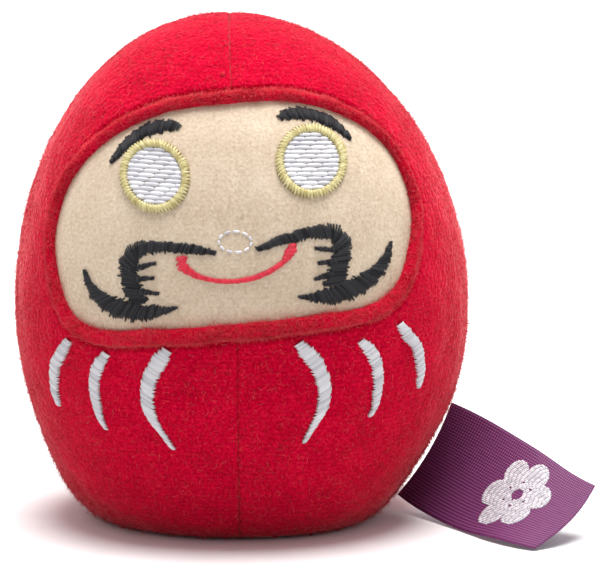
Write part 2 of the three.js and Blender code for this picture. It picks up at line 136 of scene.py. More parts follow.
def for_camera(tree, seen_otherwise, seen_by_camera):
    """One of two shaders: the second for rays straight from the camera."""
    ray = add_node(tree, "ShaderNodeLightPath").outputs["Is Camera Ray"]
    inputs = {0: ray, 1: seen_otherwise.outputs[0], 2: seen_by_camera.outputs[0]}
    return add_node(tree, "ShaderNodeMixShader", inputs).outputs[0]


brighter_sides = 0.8
brighter_right = 0.15
room = bpy.data.worlds.new("room")
bpy.context.scene.world = room
tree = new_tree(room)
place = add_node(tree, "ShaderNodeTexCoord").outputs["Generated"]
axes = add_node(tree, "ShaderNodeSeparateXYZ", {"Vector": place}).outputs
lateral = value(tree, "MULTIPLY_ADD", value(tree, "POWER", axes["X"], 2.0), brighter_sides, axes["Y"])
depth = value(tree, "MULTIPLY_ADD", axes["X"], brighter_right, lateral)
wall = ramp(
    tree,
    add_node(tree, "ShaderNodeMapRange", {"Value": depth, "From Min": -1.0}).outputs[0],
    [(0.0, colour(0.3, 0.3, 0.31)), (0.48, colour(0.36, 0.36, 0.37)), (0.88, grey(1.0))],
)
lit = add_node(tree, "ShaderNodeBackground", {"Color": wall})
plain = add_node(tree, "ShaderNodeBackground", {"Color": grey(1.0)})
add_node(tree, "ShaderNodeOutputWorld", {"Surface": for_camera(tree, lit, plain)})
print("room is lit")

# %% [markdown]
# A white table throws so much light back up that the underside of the toy would glow. The floor
# is therefore greyer to bounced light than to the camera. It is stage scenery, not part of the
# object.

# %% Floor
bpy.ops.mesh.primitive_plane_add(size=8)
floor = bpy.context.object
floor.name = "floor"
paint = bpy.data.materials.new("white_table")
tree = new_tree(paint)
speck = add_node(tree, "ShaderNodeTexNoise", {"Scale": 900.0, "Detail": 2.0})
table_shade = ramp(tree, speck.outputs["Fac"], [(0.3, grey(0.9)), (0.7, grey(0.93))])
table = add_node(tree, "ShaderNodeBsdfPrincipled", {"Base Color": table_shade, "Roughness": 0.8})
table.inputs["Specular IOR Level"].default_value = 0.2
greyer = add_node(tree, "ShaderNodeBsdfDiffuse", {"Color": grey(0.62)})
add_node(tree, "ShaderNodeOutputMaterial", {"Surface": for_camera(tree, greyer, table)})
floor.data.materials.append(paint)
print("floor is", floor.dimensions.x, "m wide")

# %% [markdown]
# ## The shape that everything sits on
# The stuffed body is an egg: an ellipse turned about the upright axis, with one height above
# its widest ring and another below it, and a crown that leans a little sideways. The pieces
# are measured on a unit ball first and then stretched to the egg, which keeps every formula
# short. All sizes are in millimetres and become metres when a mesh is made.

# %% Sizes of the body
MM = 0.001
body_radius = 43.2
widest_height = 41.0
crown_rise = 55.5
lower_drop = 52.2
crown_lean = -2.3
body_height = widest_height + crown_rise
plush_thickness = 2.0
face_recess = 0.25
face_thickness = 1.0
seam_gap = 0.06


def reach_of(upward):
    return np.where(upward > 0, crown_rise, lower_drop)


def normalised(rows):
    return rows / np.linalg.norm(rows, axis=-1, keepdims=True)


def on_egg(ball):
    """Points on the egg for unit-ball points, as rows of x, y, z."""
    height = widest_height + reach_of(ball[:, 2]) * ball[:, 2]
    return np.stack([body_radius * ball[:, 0], body_radius * ball[:, 1], height], 1)


def on_ball(points):
    """Unit-ball points under points near the egg."""
    rise = points[:, 2] - widest_height
    return normalised(
        np.stack([points[:, 0] / body_radius, points[:, 1] / body_radius, rise / reach_of(rise)], 1)
    )


def egg_slope(ball):
    upward = ball[:, 2] / reach_of(ball[:, 2])
    return np.stack([ball[:, 0] / body_radius, ball[:, 1] / body_radius, upward], 1)


def egg_normals(ball):
    return normalised(egg_slope(ball))


def front_ball(x, z):
    """Unit-ball points of the front surface at places in the front view."""
    x, z = np.asarray(x, float), np.asarray(z, float)
    rise = z - widest_height
    across, up = x / body_radius, rise / reach_of(rise)
    return np.stack([across, -np.sqrt(np.clip(1 - across**2 - up**2, 0.0004, 1)), up], 1)


def leaned(points):
    """Moves points sideways with the lean of the crown."""
    moved = np.array(points, float)
    moved[:, 0] += crown_lean * (np.maximum(0, moved[:, 2] - widest_height) / crown_rise) ** 2
    return moved


print("egg is", 2 * body_radius, "by", body_height, "mm")

# %% [markdown]
# ## Tension of the stuffed skin
# Stuffing presses the gores outwards, and the seams hold them back, so each gore swells a
# little between its seams. That is what a cloth simulation does well. A ball of cloth in the
# egg's shape is pinned along the four seams and the foot and blown up by pressure. It is
# simulated at ten times its size, because cloth solvers behave better on large pieces. Only
# the outward swell is kept, as a grid over the ball that all later pieces read.

# %% Simulate the skin
swell_columns = 96
swell_rows = 48
swell_limit = 0.35
swell = np.zeros((swell_rows + 1, swell_columns))


def simulate_swell():
    bpy.ops.mesh.primitive_uv_sphere_add(segments=swell_columns, ring_count=swell_rows, radius=1)
    skin = bpy.context.object
    count = len(skin.data.vertices)
    ball = np.zeros(count * 3)
    skin.data.vertices.foreach_get("co", ball)
    ball = ball.reshape(-1, 3)
    start = on_egg(ball)
    start[:, 2] = np.maximum(start[:, 2], 0)
    enlarged = 10 * MM
    skin.data.vertices.foreach_set("co", (start * enlarged).ravel())
    pins = skin.vertex_groups.new(name="seams")
    held = (np.abs(start[:, 0]) < 0.2) | (np.abs(start[:, 1]) < 0.2) | (start[:, 2] < 0.1)
    pins.add([int(i) for i in np.flatnonzero(held)], 1.0, "REPLACE")
    cloth = skin.modifiers.new("Cloth", "CLOTH")
    cloth.settings.vertex_group_mass = "seams"
    cloth.settings.use_pressure = True
    cloth.settings.uniform_pressure_force = 14
    cloth.settings.effector_weights.gravity = 0
    cloth.settings.quality = 6
    cloth.point_cache.frame_start = 1
    cloth.point_cache.frame_end = 20
    for step in range(1, 21):
        bpy.context.scene.frame_set(step)
    bpy.ops.object.modifier_apply(modifier="Cloth")
    bpy.context.scene.frame_set(1)
    blown = np.zeros(count * 3)
    skin.data.vertices.foreach_get("co", blown)
    outward = ((blown.reshape(-1, 3) / enlarged - start) * egg_normals(ball)).sum(1)
    outward[start[:, 2] < 0.1] = 0
    row = np.rint((np.arcsin(ball[:, 2]) / math.pi + 0.5) * swell_rows).astype(int)
    column = np.rint(np.arctan2(ball[:, 1], ball[:, 0]) / (2 * math.pi) * swell_columns).astype(int)
    swell[row, column % swell_columns] = np.clip(outward, 0, swell_limit)
    bpy.data.objects.remove(skin)


simulate_swell()
print("largest swell", round(float(swell.max()), 2), "mm")

# %% Read the swell anywhere
def swell_at(ball):
    row = np.clip((np.arcsin(np.clip(ball[:, 2], -1, 1)) / math.pi + 0.5) * swell_rows, 0, swell_rows - 0.001)
    column = (np.arctan2(ball[:, 1], ball[:, 0]) / (2 * math.pi) * swell_columns) % swell_columns
    low, left = np.floor(row).astype(int), np.floor(column).astype(int) % swell_columns
    up, across = row - low, column - np.floor(column)
    right = (left + 1) % swell_columns
    lower = swell[low, left] * (1 - across) + swell[low, right] * across
    upper = swell[low + 1, left] * (1 - across) + swell[low + 1, right] * across
    return lower * (1 - up) + upper * up


# %% [markdown]
# ## Drawing on the body
# The embroidery was stitched flat and turned a little when the toy was sewn, so its drawing
# grid rises towards the right. Outlines are smooth curves through a few chosen points.

# %% Curves and the drawing grid
face_slant = 0.091
robe_slant = 0.055
face_shift = -1.0
face_ease = 1.1


def on_grid(places, slant, side=1):
    """Front-view x and z of grid places: hundredths of the radius across, of the height up."""
    places = np.asarray(places, float)
    x = side * places[:, 0] * body_radius / 100
    return np.stack([x, places[:, 1] * body_height / 100 + slant * x], 1)


def smooth_path(points, samples, closed=False):
    """A centripetal Catmull-Rom curve through the points, sampled evenly along its length."""
    points = np.asarray(points, float)
    if closed:
        points = np.concatenate([points[-1:], points, points[:2]])
    else:
        points = np.concatenate([2 * points[:1] - points[1:2], points, 2 * points[-1:] - points[-2:-1]])
    knots = np.concatenate([[0], np.cumsum(np.linalg.norm(np.diff(points, axis=0), axis=1) ** 0.5)])
    pieces = []
    for i in range(1, len(points) - 2):
        t = np.linspace(knots[i], knots[i + 1], 40, endpoint=False)[:, None]
        p, k = points[i - 1 : i + 3], knots[i - 1 : i + 3]
        a = [((k[j + 1] - t) * p[j] + (t - k[j]) * p[j + 1]) / (k[j + 1] - k[j]) for j in range(3)]
        b = [((k[j + 2] - t) * a[j] + (t - k[j]) * a[j + 1]) / (k[j + 2] - k[j]) for j in range(2)]
        pieces.append(((k[2] - t) * b[0] + (t - k[1]) * b[1]) / (k[2] - k[1]))
    fine = np.concatenate([*pieces, points[-2:-1]])
    length = np.concatenate([[0], np.cumsum(np.linalg.norm(np.diff(fine, axis=0), axis=1))])
    wanted = np.linspace(0, length[-1], samples + 1)
    evenly = np.stack([np.interp(wanted, length, fine[:, j]) for j in range(fine.shape[1])], 1)
    return evenly[:-1] if closed else evenly


face_opening = [
    (0, 83.7), (30, 82.5), (53, 77.9), (68, 71), (74.8, 61.5),
    (73, 54.5), (68, 48.8), (59, 46.1), (32, 45.6), (0, 45.6),
]
opening_samples = 720
right_half = on_grid(face_opening, face_slant)
left_half = on_grid(face_opening[-2:0:-1], face_slant, -1)
opening_line = smooth_path(np.concatenate([right_half, left_half]), opening_samples, closed=True)
opening_line[:, 0] += face_shift
opening_edge = on_egg(front_ball(opening_line[:, 0], opening_line[:, 1]))
print("face opening is", round(float(np.ptp(opening_edge[:, 0])), 1), "mm wide")

# %% Rings beside the opening
def ring_frame(ring):
    """Direction along a closed ring on the egg, outwards along the surface, and the normal."""
    along = normalised(np.roll(ring, -1, 0) - np.roll(ring, 1, 0))
    normal = egg_normals(on_ball(ring))
    return along, normalised(np.cross(normal, along)), normal


def spread(ring, distance):
    """The ring moved sideways along the surface; a positive distance widens it."""
    _, outward, _ = ring_frame(ring)
    if np.dot(outward[0], ring[0] - ring.mean(0)) < 0:
        outward = -outward
    return on_egg(on_ball(ring + outward * np.reshape(distance, (-1, 1))))


opening_edge = spread(opening_edge, face_ease)
opening_line = opening_edge[:, [0, 2]]
edge_tree = KDTree(opening_samples)
for index, point in enumerate(opening_edge):
    edge_tree.insert(point, index)
edge_tree.balance()


def edge_distance(points):
    """Distance of each point from the opening's visible edge."""
    return np.array([edge_tree.find(point)[2] for point in points])


def reach_by_bearing(outline):
    """A function that gives an outline's distance from the origin at any bearing."""
    bearing = np.arctan2(outline[:, 1], outline[:, 0])
    reach = np.linalg.norm(outline, axis=1)
    order = np.argsort(bearing)
    return lambda wanted: np.interp(wanted, bearing[order], reach[order], period=2 * math.pi)


opening_middle = opening_line.mean(0)
opening_reach = reach_by_bearing(opening_line - opening_middle)


def inside_opening(points):
    """Whether points of the front lie inside the opening, seen from the front."""
    view = points[:, [0, 2]] - opening_middle
    limit = opening_reach(np.arctan2(view[:, 1], view[:, 0]))
    return (np.linalg.norm(view, axis=1) < limit) & (points[:, 1] < 0)


print("opening edge has", opening_samples, "samples")

# %% [markdown]
# ## The relief of the plush
# Seams draw the pile into narrow valleys, and the rolled rim presses a crease into the gores
# around the face. The stuffing settles towards the foot, more to the left than to the right,
# and the foot turns under softly where the gores meet the base. The label, when it folds
# forward, lies in a shallow nest beside its seam. These are the visible shapes of the skin, so
# they are real geometry, worked out from distances.

# %% Relief
seam_depth = 0.3
seam_reach = 0.35
rim_crease_start = 4.0
rim_crease_end = 2.4
rim_crease_depth = 0.85
foot_softness = 1.6
foot_fullness = 1.5
fullness_height = 5.0
fullness_spread = 9.0
nest_depth = 2.0
nest_before_seam = 7.0
nest_height = 8.0
nest_spread = 10.0


def eased(value):
    value = np.clip(value, 0, 1)
    return value * value * (3 - 2 * value)


def plush_surface(ball, with_rim=True):
    """Points of the plush's outer surface, and the egg's normals there."""
    points = on_egg(ball)
    normals = egg_normals(ball)
    out = swell_at(ball)
    for axis in (0, 1):
        out -= seam_depth * np.exp(-((points[:, axis] / seam_reach) ** 2))
    aside = points[:, 0] / np.maximum(np.linalg.norm(points[:, :2], axis=1), 1)
    fuller = foot_fullness * (0.2 + 0.55 * np.abs(aside) - 0.25 * aside)
    out += fuller * np.exp(-(((points[:, 2] - fullness_height) / fullness_spread) ** 2))
    nest = ((points[:, 1] + nest_before_seam) ** 2 + (points[:, 2] - nest_height) ** 2) / nest_spread**2
    out -= np.where(points[:, 0] > 0, nest_depth * np.exp(-nest), 0)
    if with_rim:
        near = edge_distance(points)
        crease = eased((rim_crease_start - near) / (rim_crease_start - rim_crease_end))
        out -= np.where(points[:, 1] < 0, rim_crease_depth * crease, 0)
    points = points + normals * out[:, None]
    low = points[:, 2]
    points[:, 2] = 0.5 * (low + np.sqrt(low**2 + foot_softness**2)) - 0.1
    return points, normals


print("seams are", seam_depth, "mm deep")

# %% [markdown]
# ## Making meshes
# Fine fabric needs tens of thousands of faces, so meshes are written from arrays. A panel is a
# thin shell: a fine outer grid, the same border copied to the inside, and a coarse inner wall
# whose large faces meet every border vertex, so the shell stays closed with few faces.

# %% Mesh helpers
def add_mesh(name, points, faces, body="doll", replaces=(), lean=True):
    """A named piece from points in millimetres and faces as lists of corners."""
    points = leaned(points) if lean else np.asarray(points, float)
    mesh = bpy.data.meshes.new(name)
    if isinstance(faces, np.ndarray):
        corners = faces.shape[1]
        mesh.vertices.add(len(points))
        mesh.vertices.foreach_set("co", (points * MM).ravel())
        mesh.loops.add(faces.size)
        mesh.loops.foreach_set("vertex_index", faces.ravel().astype(np.int32))
        mesh.polygons.add(len(faces))
        mesh.polygons.foreach_set("loop_start", np.arange(0, faces.size, corners, dtype=np.int32))
        mesh.update(calc_edges=True)
    else:
        mesh.from_pydata((points * MM).tolist(), [], faces)
    mesh.validate()
    piece = bpy.data.objects.new(name, mesh)
    bpy.context.scene.collection.objects.link(piece)
    finish_piece(piece, body, replaces)
    return piece


def finish_piece(piece, body, replaces):
    """Puts a piece under its body's empty and hides the frame nodes that it replaces."""
    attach(piece, body)
    if replaces:
        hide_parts(*replaces)


def smooth(piece):
    piece.data.polygons.foreach_set("use_smooth", np.ones(len(piece.data.polygons), bool))
    piece.data.update()


def make_active(piece):
    bpy.ops.object.select_all(action="DESELECT")
    piece.select_set(True)
    bpy.context.view_layer.objects.active = piece


def shell(outer, inner, step=8):
    """A closed shell from two equal grids of points; the inner wall keeps every step-th row."""
    rows, columns = outer.shape[0] - 1, outer.shape[1] - 1
    i, j = rows // 2, columns // 2
    facing = np.cross(outer[i, j + 1] - outer[i, j], outer[i + 1, j] - outer[i, j])
    turned = np.dot(facing, outer[i, j] - inner[i, j]) < 0
    index = np.arange((rows + 1) * (columns + 1)).reshape(rows + 1, columns + 1)
    count = index.size
    quads = np.stack([index[:-1, :-1], index[:-1, 1:], index[1:, 1:], index[1:, :-1]], -1).reshape(-1, 4)
    faces = quads.tolist()
    border = [*index[0, :], *index[1:, -1], *index[-1, -2::-1], *index[-2:0:-1, 0]]
    for a, b in zip(border, border[1:] + border[:1]):
        faces.append([b, a, a + count, b + count])
    for i in range(0, rows, step):
        for j in range(0, columns, step):
            low, high, left, right = i, i + step, j, j + step
            ring = list(index[low, left:right]) if low == 0 else [index[low, left]]
            ring += list(index[low:high, right]) if right == columns else [index[low, right]]
            ring += list(index[high, right:left:-1]) if high == rows else [index[high, right]]
            ring += list(index[high:low:-1, left]) if left == 0 else [index[high, left]]
            faces.append([int(k) + count for k in reversed(ring)])
    if turned:
        faces = [face[::-1] for face in faces]
    used = sorted({corner for face in faces for corner in face})
    renumber = {old: new for new, old in enumerate(used)}
    points = np.concatenate([outer.reshape(-1, 3), inner.reshape(-1, 3)])[used]
    return points, [[renumber[corner] for corner in face] for face in faces]


def texture_relief(piece, name, size, strength, group=None, kind="CLOUDS"):
    """Raises a piece along its normals by a cloud texture; the modifier is applied."""
    texture = bpy.data.textures.new(name, kind)
    texture.noise_scale = size * MM
    texture.noise_depth = 2
    relief = piece.modifiers.new(name, "DISPLACE")
    relief.texture = texture
    relief.texture_coords = "LOCAL"
    relief.strength = strength * MM
    relief.mid_level = 0.5
    if group:
        relief.vertex_group = group
    make_active(piece)
    bpy.ops.object.modifier_apply(modifier=name)


def weight_group(piece, name, weights):
    """A vertex group with one weight for each vertex."""
    group = piece.vertex_groups.new(name=name)
    steps = np.rint(np.clip(weights, 0, 1) * 10).astype(int)
    for step in range(1, 11):
        chosen = np.flatnonzero(steps == step)
        group.add([int(i) for i in chosen], step / 10, "REPLACE")


print("mesh helpers ready")

# %% [markdown]
# ## Fabric and thread materials
# Each finish shares a few node groups. A group reads Object coordinates, so a pattern sits on
# the cloth, and it puts out only a colour and a height. The shader stays in the material, where
# constant values such as sheen are set on its own sockets.

# %% Group helpers
def new_group(name, inputs, outputs):
    group = bpy.data.node_groups.new(name, "ShaderNodeTree")
    for label, kind in inputs:
        group.interface.new_socket(label, in_out="INPUT", socket_type=kind)
    for label, kind in outputs:
        group.interface.new_socket(label, in_out="OUTPUT", socket_type=kind)
    source = group.nodes.new("NodeGroupInput").outputs
    return group, source, group.nodes.new("NodeGroupOutput").inputs


def blend_colours(tree, factor, a, b):
    made = add_node(tree, "ShaderNodeMix", data_type="RGBA")
    for socket, given in ((made.inputs[0], factor), (made.inputs[6], a), (made.inputs[7], b)):
        if isinstance(given, bpy.types.NodeSocket):
            tree.links.new(given, socket)
        else:
            socket.default_value = given
    return made.outputs[2]


def noise(tree, vector, scale, detail=2.0, distortion=0.0):
    inputs = {"Vector": vector, "Scale": scale, "Detail": detail, "Distortion": distortion}
    return add_node(tree, "ShaderNodeTexNoise", inputs).outputs["Fac"]


COLOUR, FLOAT, VECTOR = "NodeSocketColor", "NodeSocketFloat", "NodeSocketVector"

# %% Brushed pile group
knit_row = 0.85
pile_group, given, result = new_group(
    "brushed_pile",
    [("Vector", VECTOR), ("Deep", COLOUR), ("Middle", COLOUR), ("Light", COLOUR), ("Rows", FLOAT)],
    [("Color", COLOUR), ("Height", FLOAT)],
)
tree = pile_group
tufts = noise(tree, given["Vector"], 1900.0, 3.0, 0.4)
patches = noise(tree, given["Vector"], 140.0, 2.0)
across = add_node(tree, "ShaderNodeSeparateXYZ", {"Vector": given["Vector"]}).outputs["Z"]
wander = value(tree, "MULTIPLY", noise(tree, given["Vector"], 260.0), 0.0009)
cycle = 2 * math.pi / (knit_row * MM)
row_wave = value(tree, "SINE", value(tree, "MULTIPLY", value(tree, "ADD", across, wander), cycle))
rows = value(tree, "MULTIPLY", row_wave, given["Rows"])
height = value(tree, "MULTIPLY_ADD", rows, 0.035, tufts)
tone = value(tree, "MULTIPLY_ADD", value(tree, "SUBTRACT", patches, 0.5), 0.3, height)
shade = ramp(tree, tone, [(0.3, colour(0, 0, 0)), (0.72, colour(1, 1, 1))])
low = blend_colours(tree, value(tree, "MULTIPLY", shade, 2.0), given["Deep"], given["Middle"])
high = blend_colours(tree, value(tree, "MULTIPLY_ADD", shade, 2.0, -1.0), low, given["Light"])
tree.links.new(high, result["Color"])
tree.links.new(height, result["Height"])
print("group", pile_group.name)


# %% Material helper
def cloth_material(name, group, settings, roughness, sheen, tint, bump, extra=None):
    """A material whose colour and height come from a group that reads Object coordinates."""
    made = bpy.data.materials.new(name)
    tree = new_tree(made)
    place = add_node(tree, "ShaderNodeTexCoord").outputs["Object"]
    pattern = add_node(tree, "ShaderNodeGroup", node_tree=group)
    tree.links.new(place, pattern.inputs["Vector"])
    for label, given in settings.items():
        pattern.inputs[label].default_value = given
    relief = add_node(
        tree,
        "ShaderNodeBump",
        {"Strength": bump[0], "Distance": bump[1] * MM, "Height": pattern.outputs["Height"]},
    )
    shader = add_node(tree, "ShaderNodeBsdfPrincipled", {"Base Color": pattern.outputs["Color"]})
    tree.links.new(relief.outputs["Normal"], shader.inputs["Normal"])
    shader.inputs["Roughness"].default_value = roughness
    shader.inputs["Sheen Weight"].default_value = sheen
    shader.inputs["Sheen Roughness"].default_value = 0.3
    shader.inputs["Sheen Tint"].default_value = tint
    for label, given in (extra or {}).items():
        shader.inputs[label].default_value = given
    add_node(tree, "ShaderNodeOutputMaterial", {"Surface": shader.outputs[0]})
    return made


def dress(piece, material):
    piece.data.materials.clear()
    piece.data.materials.append(material)


pink_sheen = colour(1.0, 0.36, 0.36)
plush_red = cloth_material(
    "plush_red",
    pile_group,
    {
        "Deep": colour(0.4, 0.0, 0.018),
        "Middle": colour(0.58, 0.0, 0.027),
        "Light": colour(0.72, 0.008, 0.042),
        "Rows": 1.0,
    },
    roughness=1.0, sheen=1.0, tint=pink_sheen, bump=(0.5, 0.3),
    extra={"Specular IOR Level": 0.04},
)
velour_beige = cloth_material(
    "velour_beige",
    pile_group,
    {
        "Deep": colour(0.6, 0.465, 0.335),
        "Middle": colour(0.69, 0.555, 0.415),
        "Light": colour(0.775, 0.65, 0.51),
        "Rows": 0.5,
    },
    roughness=0.95, sheen=0.25, tint=colour(1.0, 0.9, 0.8), bump=(0.25, 0.2),
    extra={"Specular IOR Level": 0.15},
)
print("materials for plush and velour")

# %% [markdown]
# ## The four plush gores
# A front gore lies between the face opening, the centre seam, the side seam and the foot. Rays
# from the opening's middle to the outer seams cover it without a pole, and each ray carries
# the same number of points. A back gore is a plain grid of meridians and parallels. Both get
# the fluffy surface of brushed knit from two applied cloud reliefs.

# %% Front gores
rim_cover = 1.6
foot_ball_height = -(widest_height + 0.8) / lower_drop
gore_columns = 416
gore_rows = 168


def chart_of(ball):
    """Flat map of the front half: distance is the angle from straight ahead."""
    angle = np.arccos(np.clip(-ball[:, 1], -1, 1))
    bearing = np.arctan2(ball[:, 2], ball[:, 0])
    return np.stack([angle * np.cos(bearing), angle * np.sin(bearing)], 1)


def from_chart(chart):
    angle = np.linalg.norm(chart, axis=-1)
    share = np.sinc(angle / math.pi)
    return np.stack([chart[..., 0] * share, -np.cos(angle), chart[..., 1] * share], -1)


cut_chart = chart_of(on_ball(spread(opening_edge, rim_cover)))
chart_middle = np.array([0.0, cut_chart[:, 1].mean()])
cut_reach = reach_by_bearing(cut_chart - chart_middle)


def ray_ends(bearing):
    """Chart distances along each ray where a front gore starts and ends."""
    start = cut_reach(bearing)
    direction = np.stack([np.cos(bearing), np.sin(bearing)], 1)
    along = direction @ chart_middle
    end = -along + np.sqrt((math.pi / 2) ** 2 - chart_middle @ chart_middle + along**2)
    low, high = np.zeros_like(end), end.copy()
    for _ in range(30):
        middle = (low + high) / 2
        above = from_chart(chart_middle + direction * middle[:, None])[:, 2] > foot_ball_height
        low, high = np.where(above, middle, low), np.where(above, high, middle)
    return start, high, direction


def clothe_gore(name, ball, side, depthwise, node):
    """A plush shell over a grid of unit-ball points."""
    rows, columns = ball.shape[:2]
    flat = ball.reshape(-1, 3)
    outer, normals = plush_surface(flat)
    inner = on_egg(flat) - normals * plush_thickness
    inner[:, 2] = np.maximum(inner[:, 2], 0.7)
    apart = np.array([side, depthwise, 0]) * seam_gap / 2
    grids = [(points + apart).reshape(rows, columns, 3) for points in (outer, inner)]
    points, faces = shell(*grids)
    piece = add_mesh(name, points, faces, replaces=[node])
    inward = np.minimum(np.arange(columns), np.arange(columns)[::-1])
    downward = np.minimum(np.arange(rows), np.arange(rows)[::-1])
    fluffy = np.zeros(len(points))
    fluffy[: flat.shape[0]] = np.minimum.outer(downward, inward).ravel() / 6
    weight_group(piece, "fluffy", fluffy)
    texture_relief(piece, "tufts", 0.55, 0.34, "fluffy")
    texture_relief(piece, "stuffing_lumps", 7.0, 0.5, "fluffy")
    smooth(piece)
    dress(piece, plush_red)
    return piece


sides = (("left", -1), ("right", 1))
for side_name, side in sides:
    bearing = math.pi / 2 - side * np.linspace(0, math.pi, gore_columns + 1)
    start, end, direction = ray_ends(bearing)
    steps = np.linspace(0, 1, gore_rows + 1)[:, None]
    reach = start + (end - start) * steps
    chart = chart_middle + direction[None] * reach[..., None]
    name = f"front_{side_name}_panel"
    piece = clothe_gore(name.replace("panel", "gore"), from_chart(chart), side, -1, name)
    print(piece.name, len(piece.data.polygons), "faces")

# %% [markdown]
# The back has no opening, so each back gore is a plain grid of turns and heights. It stops just
# short of the crown, where the four gores meet.

# %% Back gores
back_columns = 160
back_rows = 344
crown_stop = math.radians(89.4)
for side_name, side in sides:
    turn = np.linspace(0, math.pi / 2, back_columns + 1)[None, :]
    rise = np.linspace(math.asin(foot_ball_height), crown_stop, back_rows + 1)[:, None]
    across, behind = np.cos(rise) * np.cos(turn), np.cos(rise) * np.sin(turn)
    ball = np.stack([side * across, behind, np.sin(rise) + 0 * turn], -1)
    name = f"back_{side_name}_panel"
    piece = clothe_gore(name.replace("panel", "gore"), ball, side, 1, name)
    print(piece.name, len(piece.data.polygons), "faces")

# %% [markdown]
# ## The base
# The base is a disc of the same plush, seen only when the doll is picked up. It starts as a
# grid, is rounded to a disc, is given its thickness and then its pile relief.

# %% Base disc
base_radius = 23.6
base_lift = 0.9
base_wall = 1.2


def square_to_disc(across, up):
    return np.stack([across * np.sqrt(1 - up**2 / 2), up * np.sqrt(1 - across**2 / 2)], -1)


bpy.ops.object.select_all(action="DESELECT")
bpy.ops.mesh.primitive_grid_add(x_subdivisions=110, y_subdivisions=110, size=2)
base = bpy.context.object
base.name = "base_disc"
places = np.zeros(3 * len(base.data.vertices))
base.data.vertices.foreach_get("co", places)
across, up, _ = places.reshape(-1, 3).T
rounded = square_to_disc(across, up) * base_radius
dished = base_lift + 0.5 * (np.linalg.norm(rounded, axis=1) / base_radius) ** 8
base.data.vertices.foreach_set("co", (np.column_stack([rounded, dished]) * MM).ravel())
wall = base.modifiers.new("wall", "SOLIDIFY")
wall.thickness = base_wall * MM
wall.offset = 1
make_active(base)
bpy.ops.object.modifier_apply(modifier="wall")
texture_relief(base, "base_tufts", 0.55, 0.3)
finish_piece(base, "doll", ["base_panel"])
smooth(base)
dress(base, plush_red)
print(base.name, len(base.data.polygons), "faces")

# %% [markdown]
# ## The face
# The face is a separate panel of short velour, sewn in from behind, so its edge dips under the
# rim and its middle stands a little proud. A square grid mapped to the opening's outline needs
# no pole in the middle of the face.

# %% Face panel
face_columns = 256
face_rows = 168
face_tuck = 0.7
face_dip = 0.3
face_bulge = 0.35


def face_surface(ball):
    """Points of the velour's surface and the egg's normals there."""
    points, normals = on_egg(ball), egg_normals(ball)
    near = np.where(inside_opening(points), edge_distance(points), 0)
    out = swell_at(ball) - face_recess - face_dip * (1 - eased(near / 3.0)) + face_bulge * eased(near / 14)
    return points + normals * out[:, None], normals


across, up = np.meshgrid(np.linspace(-1, 1, face_columns + 1), np.linspace(-1, 1, face_rows + 1))
disc = square_to_disc(across, up).reshape(-1, 2)
tucked_reach = reach_by_bearing(spread(opening_edge, face_tuck)[:, [0, 2]] - opening_middle)
limit = tucked_reach(np.arctan2(disc[:, 1], disc[:, 0]))
view = opening_middle + disc * limit[:, None]
outer, normals = face_surface(front_ball(view[:, 0], view[:, 1]))
inner = outer - normals * face_thickness
shape = (face_rows + 1, face_columns + 1, 3)
points, faces = shell(outer.reshape(shape), inner.reshape(shape))
face_panel = add_mesh("face_velour", points, faces, replaces=["face_panel"])
weight_group(face_panel, "outer", np.arange(len(points)) < len(outer))
texture_relief(face_panel, "velour_nap", 0.5, 0.07, "outer")
texture_relief(face_panel, "face_lumps", 9.0, 0.16, "outer")
smooth(face_panel)
dress(face_panel, velour_beige)
print(face_panel.name, len(face_panel.data.polygons), "faces")

# %% [markdown]
# ## The rolled rim
# The plush around the face is rolled over and stitched down, so it stands as a soft tube,
# narrower above the brows and fuller under the chin. It is swept around the opening with a
# width that follows the height, and roughened like the gores.

# %% Rim
rim_sections = 28
rim_sink = 0.25
rim_top_half = 0.95
rim_low_half = 1.4
rim_half_height = 1.15


def rim_half_width(ring):
    up = (ring[:, 2] - ring[:, 2].min()) / np.ptp(ring[:, 2])
    return rim_low_half + (rim_top_half - rim_low_half) * eased(1.25 * up)


rim_half = rim_half_width(opening_edge)
rim_middle = spread(opening_edge, rim_half)
_, rim_outward, rim_normal = ring_frame(rim_middle)
rim_middle = rim_middle + rim_normal * (swell_at(on_ball(rim_middle)) - rim_sink)[:, None]


def on_rim(place, turn, grow=0.0):
    """Points on the roll at places around it (sample numbers) and turns about it."""
    lift = (rim_half_height + grow) * np.sin(turn)
    side = (rim_half[place] + grow) * np.cos(turn)
    return rim_middle[place] + rim_outward[place] * side[:, None] + rim_normal[place] * lift[:, None]


place, turn = np.meshgrid(np.arange(opening_samples), np.arange(rim_sections), indexing="ij")
points = on_rim(place.ravel(), 2 * math.pi * turn.ravel() / rim_sections)
index = np.arange(len(points)).reshape(opening_samples, rim_sections)
after, beside = np.roll(index, -1, 0), np.roll(index, -1, 1)
faces = np.stack([index, beside, np.roll(after, -1, 1), after], -1).reshape(-1, 4)
rim = add_mesh("rolled_rim", points, faces, replaces=["face_rim"])
texture_relief(rim, "rim_tufts", 0.55, 0.3)
texture_relief(rim, "rim_lumps", 3.5, 0.35)
smooth(rim)
dress(rim, plush_red)
print(rim.name, "is", round(2 * rim_low_half, 1), "mm wide under the chin")

# %% [markdown]
# ## One stitch
# All of the embroidery is one shape repeated: a short length of thread that comes up through
# the cloth, bows over and goes down again. It is modelled once as a five-sided cylinder whose
# long edges are cut into rings, and the rings are then drawn in towards both ends. Each copy
# gets its own place, and a tone of its own, so that neighbouring threads can be told apart.

